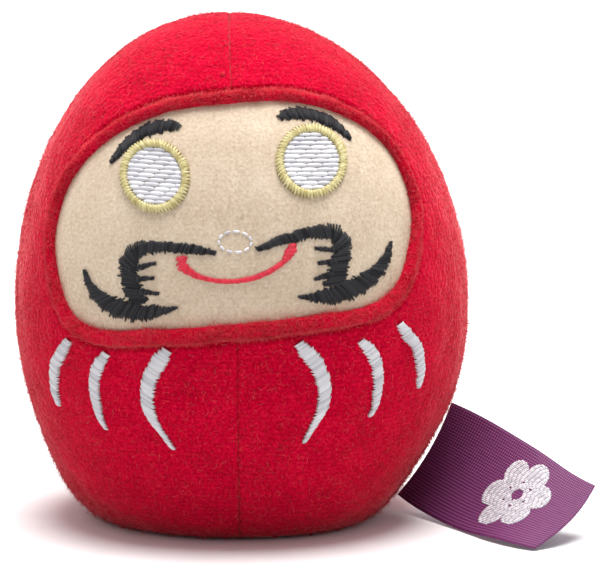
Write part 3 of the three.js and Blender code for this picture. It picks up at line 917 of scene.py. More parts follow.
# %% Model the stitch
bpy.ops.object.select_all(action="DESELECT")
bpy.ops.mesh.primitive_cylinder_add(vertices=5, radius=0.5, depth=1)
stitch = bpy.context.object
bpy.ops.object.mode_set(mode="EDIT")
bpy.ops.mesh.select_mode(type="EDGE")
bpy.ops.mesh.select_all(action="DESELECT")
bpy.ops.object.mode_set(mode="OBJECT")
for edge in stitch.data.edges:
    a, b = (stitch.data.vertices[i].co.z for i in edge.vertices)
    edge.select = abs(a - b) > 0.5
bpy.ops.object.mode_set(mode="EDIT")
bpy.ops.mesh.subdivide(number_cuts=4)
bpy.ops.object.mode_set(mode="OBJECT")
stitch_points = np.array([vertex.co for vertex in stitch.data.vertices])
stitch_faces = [list(face.vertices) for face in stitch.data.polygons]
bpy.data.objects.remove(stitch)
even = stitch_points[:, 2] + 0.5
stitch_along = 0.5 - 0.5 * np.cos(math.pi * even)
stitch_taper = 0.35 + 0.65 * np.sin(math.pi * even) ** 0.6
stitch_across = stitch_points[:, 0] * stitch_taper
stitch_up = stitch_points[:, 1] * stitch_taper
stitch_bow = np.sqrt(np.sin(math.pi * even))
print("stitch has", len(stitch_faces), "faces")

# %% Copy the stitch
rng = np.random.default_rng(41)


def sew(name, starts, ends, normals, width, bow, flat, material, node=None, dive=0.15, body="doll"):
    """One piece made of copies of the stitch, from starts to ends over a surface."""
    along = ends - starts
    across = normalised(np.cross(normals, along))
    rise = bow * stitch_bow - dive
    points = (
        starts[:, None]
        + along[:, None] * stitch_along[None, :, None]
        + across[:, None] * (width * stitch_across)[None, :, None]
        + normals[:, None] * (width * flat * stitch_up + rise)[None, :, None]
    )
    count = len(stitch_points)
    shifts = range(0, count * len(starts), count)
    faces = [[corner + shift for corner in face] for shift in shifts for face in stitch_faces]
    nodes = [node] if node else []
    piece = add_mesh(name, points.reshape(-1, 3), faces, body=body, replaces=nodes)
    # Each stitch's random tone picks its share of the thread's painted shade and painted highlight.
    tone = piece.data.attributes.new("tone", "FLOAT", "POINT")
    tone.data.foreach_set("value", np.repeat(rng.random(len(starts)), count).astype(np.float32))
    smooth(piece)
    dress(piece, material)
    return piece


# %% [markdown]
# ## Thread
# Embroidery thread is glossy spun rayon. Light catches each strand a little differently, which
# the tone of each stitch stands for, and a fine stripe across the strand stands for its twist.

# %% Thread material
thread_group, given, result = new_group(
    "spun_thread",
    [("Vector", VECTOR), ("Tone", FLOAT), ("Dark", COLOUR), ("Light", COLOUR)],
    [("Color", COLOUR), ("Height", FLOAT)],
)
tree = thread_group
fuzz = noise(tree, given["Vector"], 5200.0, 2.0, 0.6)
twist = add_node(
    tree,
    "ShaderNodeTexWave",
    {"Vector": given["Vector"], "Scale": 900.0, "Distortion": 2.5, "Detail": 2.0},
    bands_direction="DIAGONAL",
).outputs["Fac"]
tone = value(tree, "MULTIPLY_ADD", given["Tone"], 0.75, value(tree, "MULTIPLY", fuzz, 0.45))
tree.links.new(blend_colours(tree, tone, given["Dark"], given["Light"]), result["Color"])
tree.links.new(value(tree, "MULTIPLY_ADD", twist, 0.5, fuzz), result["Height"])


def thread_material(name, dark, light, roughness=0.42, sheen=0.15, gloss=0.5):
    made = cloth_material(
        name, thread_group, {"Dark": dark, "Light": light}, roughness, sheen, light, bump=(0.5, 0.06),
        extra={"Specular IOR Level": gloss},
    )
    tree = made.node_tree
    pattern = next(n for n in tree.nodes if n.type == "GROUP")
    tone = add_node(tree, "ShaderNodeAttribute", attribute_name="tone").outputs["Fac"]
    tree.links.new(tone, pattern.inputs["Tone"])
    return made


# Each thread's dark colour is its painted shade and its light colour is its painted highlight; the stitch's
# tone mixes them.
white_thread = thread_material("white_thread", colour(0.46, 0.45, 0.49), colour(0.84, 0.83, 0.86))
gold_thread = thread_material("gold_thread", colour(0.4, 0.31, 0.09), colour(0.78, 0.7, 0.36), 0.35)
black_thread = thread_material(
    "black_thread", colour(0.001, 0.001, 0.002), colour(0.045, 0.045, 0.05),
    roughness=0.4, sheen=0.0, gloss=0.12,
)
pink_thread = thread_material("pink_thread", colour(0.55, 0.008, 0.03), colour(0.85, 0.035, 0.075))
red_thread = thread_material("red_thread", colour(0.3, 0.0, 0.012), colour(0.55, 0.004, 0.024))
print("thread materials ready")

# %% [markdown]
# ## Satin stitching
# A satin column is one thread that crosses from edge to edge, so closely that only fine grooves
# show between its turns, and its turns differ in length, so the edges look finely toothed.
# Each column follows a curved spine of its own. The robe's threads all lie in one slanting
# direction, as the machine sews them, and those of the winding columns turn with their spine.

# %% Sew satin columns
satin_pitch = 0.33
thread_width = 0.42
embroidered = []


def face_place(view):
    return face_surface(front_ball(view[:, 0], view[:, 1]))


def robe_place(view):
    points, normals = plush_surface(front_ball(view[:, 0], view[:, 1]), with_rim=False)
    return points + 0.12 * normals, normals


def spine_frame(spine, slant, side):
    """Evenly spaced x, z, width and sideways direction along a spine, and the spacing."""
    rough = np.concatenate([on_grid(np.asarray(spine)[:, :2], slant, side), np.asarray(spine)[:, 2:]], 1)
    line = smooth_path(rough, 200)
    along = normalised(np.gradient(line[:, :2], axis=0))
    sideways = np.stack([-along[:, 1], along[:, 0]], 1)
    travelled = np.concatenate([[0], np.cumsum(np.linalg.norm(np.diff(line[:, :2], axis=0), axis=1))])
    return line, sideways, travelled


def satin_ends(spine, slant, side, lean=None, hatch=None, pitch=satin_pitch, ragged=0.5):
    """Front-view starts and ends of the threads of one column. Threads lie at a lean to the
    square across the spine, or all along one hatch direction, both in degrees."""
    line, sideways, travelled = spine_frame(spine, slant, side)
    outline = [line[:, :2] + sideways * line[:, 2:] / 2, line[:, :2] - sideways * line[:, 2:] / 2]
    embroidered.append(np.concatenate([outline[0], outline[1][::-1]]))
    holes = np.arange(int(travelled[-1] / pitch) + 1) * pitch
    middle = np.stack([np.interp(holes, travelled, line[:, k]) for k in range(3)], 1)
    square = np.stack([np.interp(holes, travelled, sideways[:, k]) for k in range(2)], 1)
    if hatch is None:
        turn = math.radians(lean) * side
        thread = square @ np.array([[math.cos(turn), math.sin(turn)], [-math.sin(turn), math.cos(turn)]])
    else:
        turn = math.radians(hatch) * side
        thread = np.array([[math.cos(turn), math.sin(turn)]]) + 0 * square
    slope = np.abs((thread * square).sum(1, keepdims=True))
    half = middle[:, 2:] / 2 / np.maximum(slope, 0.6)
    reach = [half * (1 + ragged * (rng.random(half.shape) - 0.4)) for _ in range(2)]
    return middle[:, :2] + thread * reach[0], middle[:, :2] - thread * reach[1]


def satin(name, columns, place, material, node, bow, width=thread_width, flat=0.62, dive=0.15):
    """One piece of satin columns, given as pairs of starts and ends in the front view."""
    starts = np.concatenate([column[0] for column in columns])
    ends = np.concatenate([column[1] for column in columns])
    start_points, start_normals = place(starts)
    end_points, end_normals = place(ends)
    normals = normalised(start_normals + end_normals)
    piece = sew(name, start_points, end_points, normals, width, bow, flat, material, node, dive)
    print(piece.name, len(starts), "threads")


# %% [markdown]
# The robe is hinted at by three curved strokes on each side, widest near their tops. Each is
# one satin column, given by places and widths along its spine for one side and mirrored for
# the other.

# %% Robe strokes
robe_strokes = (
    (
        (27.3, 40.3, 1.8), (29.5, 38.9, 2.8), (34.1, 35.9, 2.8), (36.8, 31.4, 2.5),
        (35.2, 27.0, 1.9), (30.8, 23.7, 1.3), (27.3, 21.1, 0.8),
    ),
    (
        (52.9, 39.4, 1.5), (56.0, 37.6, 2.3), (58.8, 34.6, 2.2), (59.3, 31.7, 1.9),
        (58.6, 28.7, 1.6), (57.4, 26.3, 1.1), (55.2, 24.5, 0.7),
    ),
    (
        (69.5, 41.4, 1.4), (72.2, 39.3, 2.0), (76.2, 36.4, 2.0), (77.4, 33.4, 1.7),
        (77.5, 30.5, 1.4), (76.3, 28.0, 0.6),
    ),
)
robe_hatch = 32
robe_shear = 0.11
robe_foot = 22.0
for side_name, side in sides:
    for number, stroke in enumerate(robe_strokes, 1):
        spine = [(across - side * robe_shear * (up - robe_foot), up, width) for across, up, width in stroke]
        column = satin_ends(spine, robe_slant, side, hatch=robe_hatch, ragged=0.3)
        node = f"{side_name}_robe_stroke_{number}"
        satin(f"{node}_satin", [column], robe_place, white_thread, node, bow=0.55, width=0.44)

# %% [markdown]
# A blank eye is filled with level rows of white running threads over an upright underlay,
# which hides the cloth, and a gold satin ring with a small knot covers the fill's edge. The
# brow arches over it in black satin.

# %% Eyes
eye_fill_half = np.array([5.0, 5.0])
eye_ring_width = 1.45
eye_place = np.array([32.5, 72.45])
eye_drift = -0.3
ring_overlap = 0.15
ring_inner = eye_fill_half - ring_overlap
ring_outer = eye_fill_half + eye_ring_width
brow_from_eye = np.array(
    [(-4.9, 8.1, 1.2), (-3.9, 8.5, 2.0), (-0.6, 8.5, 2.4), (2.6, 7.4, 2.3), (5.6, 5.2, 1.7), (7.8, 2.8, 0.7)]
)
brow_drift = -0.6
row_pitch = 0.76
fill_stitch = 2.8
row_slant = -0.03


def ellipse(centre, half, turn):
    return centre + half * np.stack([np.cos(turn), np.sin(turn)], 1)


def fill_rows(centre, half):
    """Starts and ends of level rows of running threads that fill an ellipse."""
    starts, ends = [], []
    rows = int(2 * half[1] / row_pitch)
    for row in range(rows):
        up = (row + 0.5 - rows / 2) * row_pitch
        reach = half[0] * math.sqrt(1 - (up / half[1]) ** 2)
        holes = np.arange(-6, 7) * fill_stitch + (row % 3) * fill_stitch / 3
        holes = np.concatenate([[-reach], holes[np.abs(holes) < reach - 0.5], [reach]])
        for a, b in zip(holes, holes[1:]):
            starts.append((a - 0.12, up + row_slant * a))
            ends.append((b + 0.12, up + row_slant * b))
    return centre + np.array(starts), centre + np.array(ends)


def underlay(centre, half):
    """Starts and ends of upright threads that cover the cloth below the rows."""
    across = np.arange(-half[0] + 0.3, half[0], 0.42)
    up = half[1] * np.sqrt(1 - (across / half[0]) ** 2)
    return centre + np.stack([across, -up], 1), centre + np.stack([across, up], 1)


for side_name, side in sides:
    centre = on_grid([eye_place], face_slant, side)[0] + [eye_drift, 0]
    node = f"{side_name}_eye_fill"
    upright = underlay(centre, eye_fill_half)
    satin(
        f"{node}_underlay", [upright], face_place, white_thread, None, bow=0.2, width=0.5, flat=0.5, dive=0.0
    )
    fill = fill_rows(centre, eye_fill_half)
    satin(f"{node}_rows", [fill], face_place, white_thread, node, bow=0.2, width=0.86, flat=0.36, dive=-0.14)
    threads = 2 * int(math.pi * ring_outer.sum() / 0.62)
    inner_turn = 2 * math.pi * (np.arange(threads) // 2) / (threads / 2)
    outer_turn = 2 * math.pi * ((np.arange(threads) + 1) // 2 + 0.35) / (threads / 2)
    jitter = 1 + 0.025 * (rng.random((threads, 1)) - 0.5)
    ring = (ellipse(centre, ring_inner, inner_turn), ellipse(centre, ring_outer * jitter, outer_turn))
    knot_turn = 0.2 + 0.06 * np.arange(5)
    knot = (ellipse(centre, ring_inner + 0.1, knot_turn), ellipse(centre, ring_outer + 0.2, knot_turn + 0.05))
    node = f"{side_name}_eye_ring"
    satin(f"{node}_satin", [ring, knot], face_place, gold_thread, node, bow=0.8, flat=0.75)
    embroidered.append(ellipse(centre, ring_outer, np.linspace(0, 2 * math.pi, 48, endpoint=False)))
    brow = brow_from_eye.copy()
    brow[:, 0] = eye_place[0] + 100 * (brow[:, 0] + side * brow_drift) / body_radius
    brow[:, 1] = eye_place[1] + 100 * brow[:, 1] / body_height
    node = f"{side_name}_eyebrow"
    column = satin_ends(brow, face_slant, side, lean=25)
    satin(f"{node}_satin", [column], face_place, black_thread, node, bow=0.5)

# %% [markdown]
# The moustache curls out and down and has three short teeth on its inner side, the beard sweeps
# up from the chin, and both are winding satin columns. The mouth is a narrow pink column with a
# knob at each end, and the nose is only a loop of running stitches.

# %% Moustache, beard, mouth and nose
nose_place = (-0.5, 59.7)
nose_half = np.array([3.2, 2.1])
nose_clear = 0.6
nose_stitches = 11
moustache_start = 100 * (nose_half[0] + nose_clear) / body_radius
moustache = (
    (moustache_start, 58.0, 1.0), (19, 59.0, 1.8), (33, 59.7, 2.2), (42, 59.0, 3.0),
    (45.3, 55.8, 3.5), (43.6, 52.6, 3.5), (41.4, 49.7, 3.6),
)
moustache_teeth = ((43, 55.9, 33.1, 56.9), (42, 54, 34.3, 54.1), (41, 51.8, 32.6, 51.2))
tooth_width = 1.25
moustache_narrowing = 0.02
beard = (
    (64.0, 55.7, 0.5), (61.0, 52.4, 2), (54.2, 49.6, 3.5),
    (40.3, 47.8, 3.4), (31, 47.9, 1.6), (24.5, 48.5, 0.4),
)
mouth = (
    (-21.4, 57.7, 1.1), (-23.2, 56.8, 2.3), (-21.6, 55.8, 1.9), (-15.5, 53.9, 1.0), (-2.5, 52.6, 0.9),
    (10, 53.2, 1.0), (19.5, 55.3, 1.1), (22.2, 57.0, 2.1), (22.9, 58.3, 1.3),
)
for side_name, side in sides:
    narrower = 1 - moustache_narrowing * (1 + side)
    spine = [(across * narrower, up, width) for across, up, width in moustache]
    columns = [satin_ends(spine, face_slant, side, lean=20)]
    for from_across, from_up, to_across, to_up in moustache_teeth:
        start, end = from_across * narrower, to_across * narrower
        tooth = ((start, from_up, tooth_width), (end, to_up, 0.5 * tooth_width))
        columns.append(satin_ends(tooth, face_slant, side, lean=15))
    node = f"{side_name}_moustache"
    satin(f"{node}_satin", columns, face_place, black_thread, node, bow=0.5)
    node = f"{side_name}_beard"
    column = satin_ends(beard, face_slant, side, lean=25)
    satin(f"{node}_satin", [column], face_place, black_thread, node, bow=0.62)

column = satin_ends(mouth, face_slant, 1, lean=25, ragged=0.3)
satin("mouth_satin", [column], face_place, pink_thread, "mouth", bow=0.42)
centre = on_grid([nose_place], face_slant)[0]
turn = 2 * math.pi * (np.arange(nose_stitches) + 0.2) / nose_stitches
share = 2 * math.pi * 0.8 / nose_stitches
nose_line = nose_half - 0.25
running = (ellipse(centre, nose_line, turn), ellipse(centre, nose_line, turn + share))
satin("nose_running_stitches", [running], face_place, white_thread, "nose_stitches", bow=0.34, width=0.5)

# %% [markdown]
# ## Closing stitches and hidden parts
# The stuffing opening low in the back seam is closed by hand with slanting ladder stitches. The
# seam threads and the parts inside the doll keep their frame meshes, and each gets the finish
# of its own stuff: loose fibre, cotton cloth, glass-like pellets and pressed backing fleece.

# %% Closing stitches
closing_low, closing_high = 12.5, 31.5
closing_pitch = 1.7
closing_half = 0.75
heights = np.arange(closing_low, closing_high, closing_pitch)


def on_back_seam(aside, heights):
    rise = (heights - widest_height) / lower_drop
    across = aside / body_radius + 0 * rise
    points, normals = plush_surface(np.stack([across, np.sqrt(1 - rise**2 - across**2), rise], 1))
    return points + 0.3 * normals, normals


closing_starts, normals = on_back_seam(-closing_half, heights)
closing_ends, _ = on_back_seam(closing_half, heights + 0.5 * closing_pitch)
sew(
    "closing_ladder", closing_starts, closing_ends, normals,
    width=0.5, bow=0.45, flat=0.8, material=red_thread, node="closing_stitches",
)
print("closing ladder has", len(heights), "stitches")

# %% Hidden finishes
loose_group, given, result = new_group(
    "loose_matter",
    [("Vector", VECTOR), ("Dark", COLOUR), ("Light", COLOUR), ("Scale", FLOAT), ("Grain", FLOAT)],
    [("Color", COLOUR), ("Height", FLOAT)],
)
tree = loose_group
strands = noise(tree, given["Vector"], given["Scale"], 6.0, 1.5)
cells = add_node(tree, "ShaderNodeTexVoronoi", {"Vector": given["Vector"], "Scale": given["Scale"]})
grains = value(tree, "MULTIPLY", value(tree, "SUBTRACT", 1.0, cells.outputs["Distance"]), given["Grain"])
height = value(tree, "ADD", strands, grains)
tree.links.new(blend_colours(tree, strands, given["Dark"], given["Light"]), result["Color"])
tree.links.new(height, result["Height"])


def hidden_finish(name, dark, light, scale, grain, roughness, bump):
    settings = {"Dark": dark, "Light": light, "Scale": scale, "Grain": grain}
    return cloth_material(name, loose_group, settings, roughness, 0.2, light, bump)


fibre_fill = hidden_finish(
    "fibre_fill", colour(0.6, 0.6, 0.58), colour(0.9, 0.9, 0.88),
    scale=260.0, grain=0.0, roughness=0.9, bump=(1.0, 1.2),
)
bag_cotton = hidden_finish(
    "bag_cotton", colour(0.5, 0.47, 0.4), colour(0.72, 0.68, 0.6),
    scale=1500.0, grain=0.3, roughness=0.85, bump=(0.6, 0.2),
)
pellets = hidden_finish(
    "pellets", colour(0.55, 0.58, 0.6), colour(0.85, 0.87, 0.88),
    scale=330.0, grain=1.0, roughness=0.3, bump=(1.0, 1.0),
)
fleece = hidden_finish(
    "backing_fleece", grey(0.7), grey(0.88), scale=900.0, grain=0.0, roughness=0.9, bump=(0.7, 0.2)
)
hidden_nodes = (
    (fibre_fill, ("stuffing",)),
    (bag_cotton, ("pellet_bag",)),
    (pellets, ("pellet_fill",)),
    (fleece, ("face_stabiliser", "left_robe_stabiliser", "right_robe_stabiliser")),
    (
        red_thread,
        (
            "back_foot_seam_thread", "back_seam_thread", "base_seam_thread", "front_lower_seam_thread",
            "front_upper_seam_thread", "left_side_seam_thread", "right_side_seam_thread", "rim_seam_thread",
        ),
    ),
)
for material, nodes in hidden_nodes:
    for node in nodes:
        dress(bpy.data.objects[node], material)
print("finished", sum(len(nodes) for _, nodes in hidden_nodes), "hidden nodes")

# %% [markdown]
# ## The woven label
# The label is a folded ribbon sewn into the side seam. It leaves the seam on edge, curves down
# and lies with its lower far corner on the table. Both edges are smooth curves. The ribbon
# carries its own map in millimetres, so its weave follows the cloth, and the mark on it is a
# plain rosette, laid in white weft floats.

# %% Label shape
label_width = 20.5
label_length = 42.0
label_thickness = 0.8
label_cloth = 0.42
label_root_height = 3.0
root_gap = 0.5
label_columns = 160
label_rows = 80
ripple_height = 0.28
ripple_waves = 1.6
ripple_skew = 0.35


def seam_point(height):
    rise = height - widest_height
    return np.array([body_radius * math.sqrt(1 - (rise / lower_drop) ** 2) + root_gap, 0, height])


def unit(vector):
    return np.asarray(vector, float) / np.linalg.norm(vector)


root_rise = 0.888 * label_width
low_root = seam_point(label_root_height)
low_heading = math.radians(55)
low_reach = math.sqrt((0.95 * label_length) ** 2 - (label_root_height - label_thickness) ** 2)
low_corner = np.array(
    [low_root[0] + low_reach * math.cos(low_heading), -low_reach * math.sin(low_heading), label_thickness]
)
low_corner += np.array([1.0, -3.6, -0.3])
end_direction = unit((0.6, 0.67, 0.435))
end_bulge = 1.4
leaving_low, leaving_high = np.array([0.52, -0.76, -0.3]), np.array([0.88, -0.32, -0.32])
arriving_low, arriving_high = np.array([0.62, -0.33, -0.07]), np.array([0.49, -0.41, -0.16])


def label_edge(across, along):
    """Points of the label's middle surface at one share across, for shares along it."""
    root = seam_point(label_root_height + across * root_rise)
    leaving = (leaving_low + (leaving_high - leaving_low) * across) * label_length / 3
    arriving = (arriving_low + (arriving_high - arriving_low) * across) * label_length / 3
    bulge = unit(arriving) * end_bulge * math.sin(math.pi * across)
    end = low_corner + end_direction * across * label_width + bulge
    t = np.asarray(along)[:, None]
    return (
        root * (1 - t) ** 3
        + 3 * (root + leaving) * t * (1 - t) ** 2
        + 3 * (end - arriving) * t**2 * (1 - t)
        + end * t**3
    )


along = np.linspace(0, 1, label_columns + 1)
ribbon = np.stack([label_edge(row / label_rows, along) for row in range(label_rows + 1)])
ribbon_normal = normalised(np.cross(np.gradient(ribbon, axis=1), np.gradient(ribbon, axis=0)))
share_across = np.linspace(0, 1, label_rows + 1)[:, None]
ripple_turn = 2 * math.pi * (ripple_waves * along[None, :] + ripple_skew * share_across)
ripple = ripple_height * np.sin(ripple_turn) * np.sin(math.pi * along)[None, :]
ribbon = ribbon + ribbon_normal * ripple[..., None]
edge_round = np.sqrt(np.clip(1 - (2 * share_across - 1) ** 24, 0.05, 1))
thickness = label_cloth / 2 * edge_round * np.ones_like(along)[None, :]
top = ribbon + ribbon_normal * thickness[..., None]
bottom = ribbon - ribbon_normal * thickness[..., None]
low_point = bottom[..., 2].min() - 0.05
points, faces = shell(top, bottom, step=1)
label = add_mesh(
    "folded_ribbon", points, faces, body="label", replaces=["woven_label"], lean=False
)
mapped = np.stack(np.meshgrid(along * label_length, share_across[:, 0] * label_width), -1).reshape(-1, 2)
mapped = np.concatenate([mapped, mapped])
corners = np.zeros(len(label.data.loops), int)
label.data.loops.foreach_get("vertex_index", corners)
label.data.uv_layers.new(name="ribbon").data.foreach_set("uv", mapped[corners].ravel())
smooth(label)
length = np.linalg.norm(np.diff(ribbon[label_rows // 2], axis=0), axis=1).sum()
print("ribbon is", round(float(length), 1), "mm long, lowest point", round(float(low_point), 2), "mm")

# %% [markdown]
# The ribbon is twill: its threads rise in a net of small dots. Two sine waves that cross on the
# ribbon's own map make the net, and long faint streaks stand for uneven weft.

# %% Ribbon weave
weave_group, given, result = new_group(
    "ribbon_weave",
    [("Vector", VECTOR), ("Dark", COLOUR), ("Light", COLOUR)],
    [("Color", COLOUR), ("Height", FLOAT)],
)
tree = weave_group
weave_pitch = 0.8
flat = add_node(tree, "ShaderNodeSeparateXYZ", {"Vector": given["Vector"]}).outputs
cycle = 2 * math.pi / weave_pitch
rising = value(tree, "MULTIPLY", value(tree, "MULTIPLY_ADD", flat["X"], 1.0, flat["Y"]), cycle * 0.7)
falling = value(tree, "MULTIPLY", value(tree, "SUBTRACT", flat["X"], flat["Y"]), cycle * 0.7)
dots = value(tree, "MULTIPLY", value(tree, "SINE", rising), value(tree, "SINE", falling))
dots = value(tree, "MULTIPLY_ADD", dots, 0.5, 0.5)
streaks = add_node(tree, "ShaderNodeMapping", {"Vector": given["Vector"], "Scale": (0.3, 6.0, 1.0)})
wear = noise(tree, streaks.outputs[0], 1.0, 3.0)
tone = value(tree, "MULTIPLY_ADD", value(tree, "SUBTRACT", wear, 0.5), 0.5, value(tree, "POWER", dots, 1.6))
tone = add_node(tree, "ShaderNodeMath", {0: tone, 1: 1.0}, operation="MULTIPLY", use_clamp=True).outputs[0]
tree.links.new(blend_colours(tree, tone, given["Dark"], given["Light"]), result["Color"])
tree.links.new(dots, result["Height"])
ribbon_purple = cloth_material(
    "ribbon_purple", weave_group, {"Dark": colour(0.048, 0.003, 0.034), "Light": colour(0.31, 0.08, 0.25)},
    roughness=0.6, sheen=0.03, tint=colour(0.8, 0.5, 0.75), bump=(0.5, 0.08),
    extra={"Specular IOR Level": 0.22},
)
tree = ribbon_purple.node_tree
uv = add_node(tree, "ShaderNodeUVMap", uv_map="ribbon").outputs["UV"]
tree.links.new(uv, next(n for n in tree.nodes if n.type == "GROUP").inputs["Vector"])
dress(label, ribbon_purple)

# %% [markdown]
# The mark is woven in, so it is built of short white floats that all run along the ribbon. Each
# row is walked in small steps, and a float is laid wherever the steps fall on the rosette.

# %% Label mark
mark_middle = (0.6 * label_length, 0.5 * label_width)
petals = 6
petal_radius = 2.95
petal_ring = 5.3
mark_hole = 1.3
mark_outer = petal_ring + petal_radius
float_pitch = 0.34
float_length = 1.15


def ribbon_at(mapped_places):
    """Points and normals on the ribbon's upper face at places in millimetres along and across."""
    column = np.clip(mapped_places[:, 0] / label_length, 0, 0.9999) * label_columns
    row = np.clip(mapped_places[:, 1] / label_width, 0, 0.9999) * label_rows
    i, j = row.astype(int), column.astype(int)
    u, v = (row - i)[:, None], (column - j)[:, None]
    nearer = top[i, j] * (1 - u) + top[i + 1, j] * u
    further = top[i, j + 1] * (1 - u) + top[i + 1, j + 1] * u
    return nearer * (1 - v) + further * v, ribbon_normal[i, j]


def on_mark(across, up):
    """Whether a place from the mark's middle is on a petal or the heart of the rosette."""
    turns = 2 * math.pi * (np.arange(petals) + 0.25) / petals
    gaps = np.hypot(across - petal_ring * np.cos(turns), up - petal_ring * np.sin(turns))
    middle = math.hypot(across, up)
    return gaps.min() < petal_radius or mark_hole < middle < 0.5 * petal_ring


starts, ends = [], []
fine_step = float_length / 8
for row in range(int(2 * mark_outer / float_pitch)):
    up = -mark_outer + (row + 0.5) * float_pitch
    begin = None
    for across in np.arange(-mark_outer, mark_outer + 2 * fine_step, fine_step):
        laid = on_mark(across, up)
        if begin is not None and (not laid or across - begin > float_length):
            starts.append((mark_middle[0] + begin, mark_middle[1] + up))
            ends.append((mark_middle[0] + across, mark_middle[1] + up))
            begin = None
        if laid and begin is None:
            begin = across
start_points, normals = ribbon_at(np.array(starts))
end_points, _ = ribbon_at(np.array(ends))
mark = sew(
    "label_mark", start_points, end_points, normals,
    width=0.38, bow=0.1, flat=0.35, material=white_thread, dive=0.03, body="label",
)
print(mark.name, len(starts), "floats")

# %% [markdown]
# ## The pile
# Brushed plush is a forest of short fibres, and their tips make the soft outline, the speckled
# surface and the blurred edges of the embroidery. Each fibre here is a slender closed spike,
# rooted a little below the cloth and combed mostly flat. Fibres of different plain colours
# are separate pieces, mixed evenly, because real fibres catch the light one by one.

# %% Grow fibres
def fibre_material(name, shade, sheen, tint):
    made = bpy.data.materials.new(name)
    tree = new_tree(made)
    shader = add_node(tree, "ShaderNodeBsdfPrincipled", {"Base Color": shade, "Roughness": 0.75})
    shader.inputs["Sheen Weight"].default_value = sheen
    shader.inputs["Sheen Tint"].default_value = tint
    shader.inputs["Specular IOR Level"].default_value = 0.25
    add_node(tree, "ShaderNodeOutputMaterial", {"Surface": shader.outputs[0]})
    return made


def perpendicular(direction):
    """Two unit directions square to each direction and to each other."""
    helper = np.where(np.abs(direction[:, 2:]) < 0.9, [[0.0, 0.0, 1.0]], [[1.0, 0.0, 0.0]])
    one = normalised(np.cross(direction, helper))
    return one, np.cross(direction, one)


def grow(name, roots, normals, comb, length, thickness, upright, scatter, material, slot, bends=0):
    """A piece of spikes; comb is the brushed direction and upright how much they stand. A spike
    with bends has that many rings between root and tip, each turned a little at random."""
    direction = normals * upright + comb + scatter * rng.normal(size=roots.shape)
    direction += normals * np.maximum(0, 0.15 - (direction * normals).sum(1, keepdims=True))
    direction = normalised(direction)
    size = length * (0.55 + 0.9 * rng.random((len(roots), 1))) / (bends + 1)
    rings, place = [], roots
    for ring in range(bends + 1):
        one, other = perpendicular(direction)
        reach = thickness * (1 - 0.5 * ring / (bends + 1))
        rings += [place + reach * (math.cos(a) * one + math.sin(a) * other) for a in (0, 2.1, 4.2)]
        place = place + direction * size
        direction = direction + 0.9 * rng.normal(size=roots.shape)
        direction -= normals * 0.35 * (direction * normals).sum(1, keepdims=True)
        direction = normalised(direction)
    points = np.stack([*rings, place], 1).reshape(-1, 3)
    points[:, 2] = np.maximum(points[:, 2], 0.03)
    shape = [(2, 1, 0)]
    for ring in range(0, 3 * bends, 3):
        for a, b in ((0, 1), (1, 2), (2, 0)):
            shape += [(ring + a, ring + b, ring + b + 3), (ring + a, ring + b + 3, ring + a + 3)]
    last = 3 * bends
    shape += [(last, last + 1, last + 3), (last + 1, last + 2, last + 3), (last + 2, last, last + 3)]
    base = (3 * bends + 4) * np.arange(len(roots))[:, None]
    faces = np.concatenate([base + np.array(face) for face in shape])
    piece = add_mesh(name, points, faces)
    dress(piece, material)
    return piece


def inside_outline(view, outline):
    """Whether front-view places lie inside a closed outline."""
    inside = np.zeros(len(view), bool)
    for a, b in zip(outline, np.roll(outline, -1, 0)):
        crosses = (a[1] > view[:, 1]) != (b[1] > view[:, 1])
        with np.errstate(divide="ignore", invalid="ignore"):
            where = a[0] + (view[:, 1] - a[1]) * (b[0] - a[0]) / (b[1] - a[1])
        inside ^= crosses & (view[:, 0] < where)
    return inside


def bare_of_stitches(points):
    """Whether front points lie clear of the embroidery."""
    view = points[:, [0, 2]]
    clear = np.ones(len(points), bool)
    for outline in embroidered:
        coarse = outline[:: max(1, len(outline) // 60)]
        low, high = coarse.min(0), coarse.max(0)
        close = clear & ((view > low) & (view < high)).all(1) & (points[:, 1] < 0)
        chosen = np.flatnonzero(close)
        clear[chosen[inside_outline(view[chosen], coarse)]] = False
    return clear


def scatter_on_ball(count):
    """Unit-ball points that are spread evenly once the ball is stretched to the egg."""
    ball = normalised(rng.normal(size=(int(count * 1.5), 3)))
    share = np.linalg.norm(egg_slope(ball), axis=1) * lower_drop
    share *= reach_of(ball[:, 2]) / crown_rise
    return ball[rng.random(len(ball)) * share.max() < share]


def swirl(points, size):
    """A smooth, wandering direction for the brushed pile."""
    a, b, c = (points / size).T
    return np.stack(
        [
            np.sin(a + 2.1 * np.sin(b)),
            np.sin(b * 1.3 + 1.7 * np.sin(c)),
            np.sin(c * 1.1 + 1.9 * np.sin(a)),
        ],
        1,
    )


print("fibre helpers ready")

# %% Body pile
pile_tones = {
    "deep": colour(0.5, 0.0, 0.018),
    "bright": colour(0.74, 0.004, 0.034),
    "light": colour(0.82, 0.05, 0.075),
    "pale": colour(0.85, 0.14, 0.14),
}


def pile_material(tone_name):
    made = bpy.data.materials.get(f"pile_{tone_name}")
    return made or fibre_material(f"pile_{tone_name}", pile_tones[tone_name], 0.2, pink_sheen)


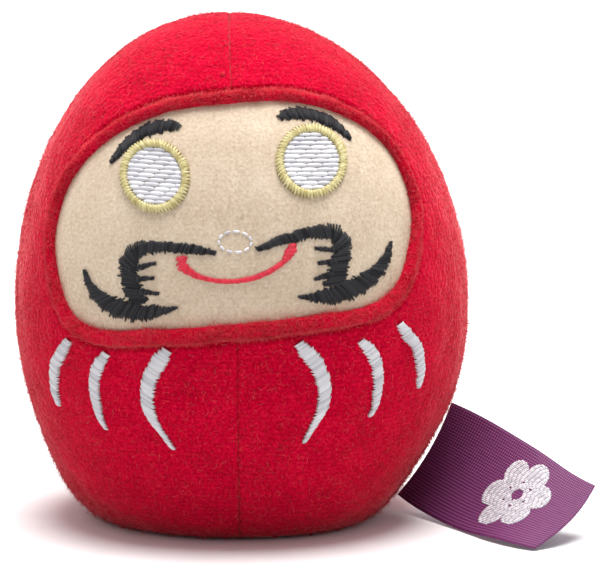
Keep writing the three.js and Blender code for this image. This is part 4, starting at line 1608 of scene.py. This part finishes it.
pile_layers = (
    ("deep", 34000, 0.8, 0.04, 0.5, 0),
    ("bright", 40000, 0.8, 0.045, 0.5, 0),
    ("bright", 9500, 1.5, 0.045, 0.4, 2),
    ("light", 12300, 1.4, 0.044, 0.4, 2),
    ("pale", 7500, 1.5, 0.034, 0.4, 2),
)
for number, (tone_name, count, length, thickness, upright, bends) in enumerate(pile_layers, 1):
    ball = scatter_on_ball(count * 1.35)
    ball = ball[ball[:, 2] > foot_ball_height + 0.01]
    roots, normals = plush_surface(ball)
    bare = ~inside_opening(on_egg(ball)) & bare_of_stitches(on_egg(ball))
    roots, normals = roots[bare][:count], normals[bare][:count]
    comb = 0.5 * swirl(roots, 3.0) + np.array([0.0, 0.0, -0.5])
    piece = grow(
        f"body_pile_{number}_{tone_name}", roots - 0.15 * normals, normals, comb,
        length, thickness, upright, 0.5, pile_material(tone_name), "plush", bends,
    )
    print(piece.name, len(roots), "fibres")

# %% Rim pile
# The pale layer's small reach keeps its fibres on the outer side of the roll, a painted highlight along the
# rim's outer crease.
rim_layers = (
    ("bright", 9000, 0.7, 0.045, 0, 1.1),
    ("light", 11000, 0.7, 0.042, 0, 1.1),
    ("light", 3200, 1.4, 0.042, 2, 1.1),
    ("pale", 3600, 0.8, 0.034, 0, 0.3),
)
along, _, _ = ring_frame(rim_middle)
for number, (tone_name, count, length, thickness, bends, reach) in enumerate(rim_layers, 1):
    where = rng.random(count) * opening_samples
    turn = rng.random(count) * math.pi * reach - 0.15
    sample = where.astype(int) % opening_samples
    roots = on_rim(sample, turn, -0.05) + along[sample] * ((where % 1)[:, None] * 0.25)
    normals = rim_outward[sample] * np.cos(turn)[:, None] + rim_normal[sample] * np.sin(turn)[:, None]
    comb = 0.7 * swirl(roots, 2.0) + 0.3 * along[sample]
    grow(
        f"rim_pile_{number}_{tone_name}", roots, normals, comb, length, thickness, 0.55, 0.5,
        pile_material(tone_name), "plush", bends,
    )
print("rim pile in", len(rim_layers), "layers")

# %% Face nap
nap_fibres = 15000
for tone_name, shade in (("sand", colour(0.7, 0.555, 0.405)), ("cream", colour(0.795, 0.67, 0.52))):
    view = opening_middle + (rng.random((nap_fibres * 2, 2)) - 0.5) * np.ptp(opening_line, axis=0) * 1.05
    ball = front_ball(view[:, 0], view[:, 1])
    chosen = inside_opening(on_egg(ball)) & bare_of_stitches(on_egg(ball))
    roots, normals = face_surface(ball[chosen][:nap_fibres])
    nap = fibre_material(f"nap_{tone_name}", shade, 0.3, colour(1.0, 0.93, 0.85))
    comb = 0.5 * swirl(roots, 2.5) + np.array([0.3, 0.0, -0.3])
    grow(f"face_nap_{tone_name}", roots - 0.08 * normals, normals, comb, 0.4, 0.028, 0.5, 0.4, nap, "velour")
    print("face nap", tone_name, len(roots))
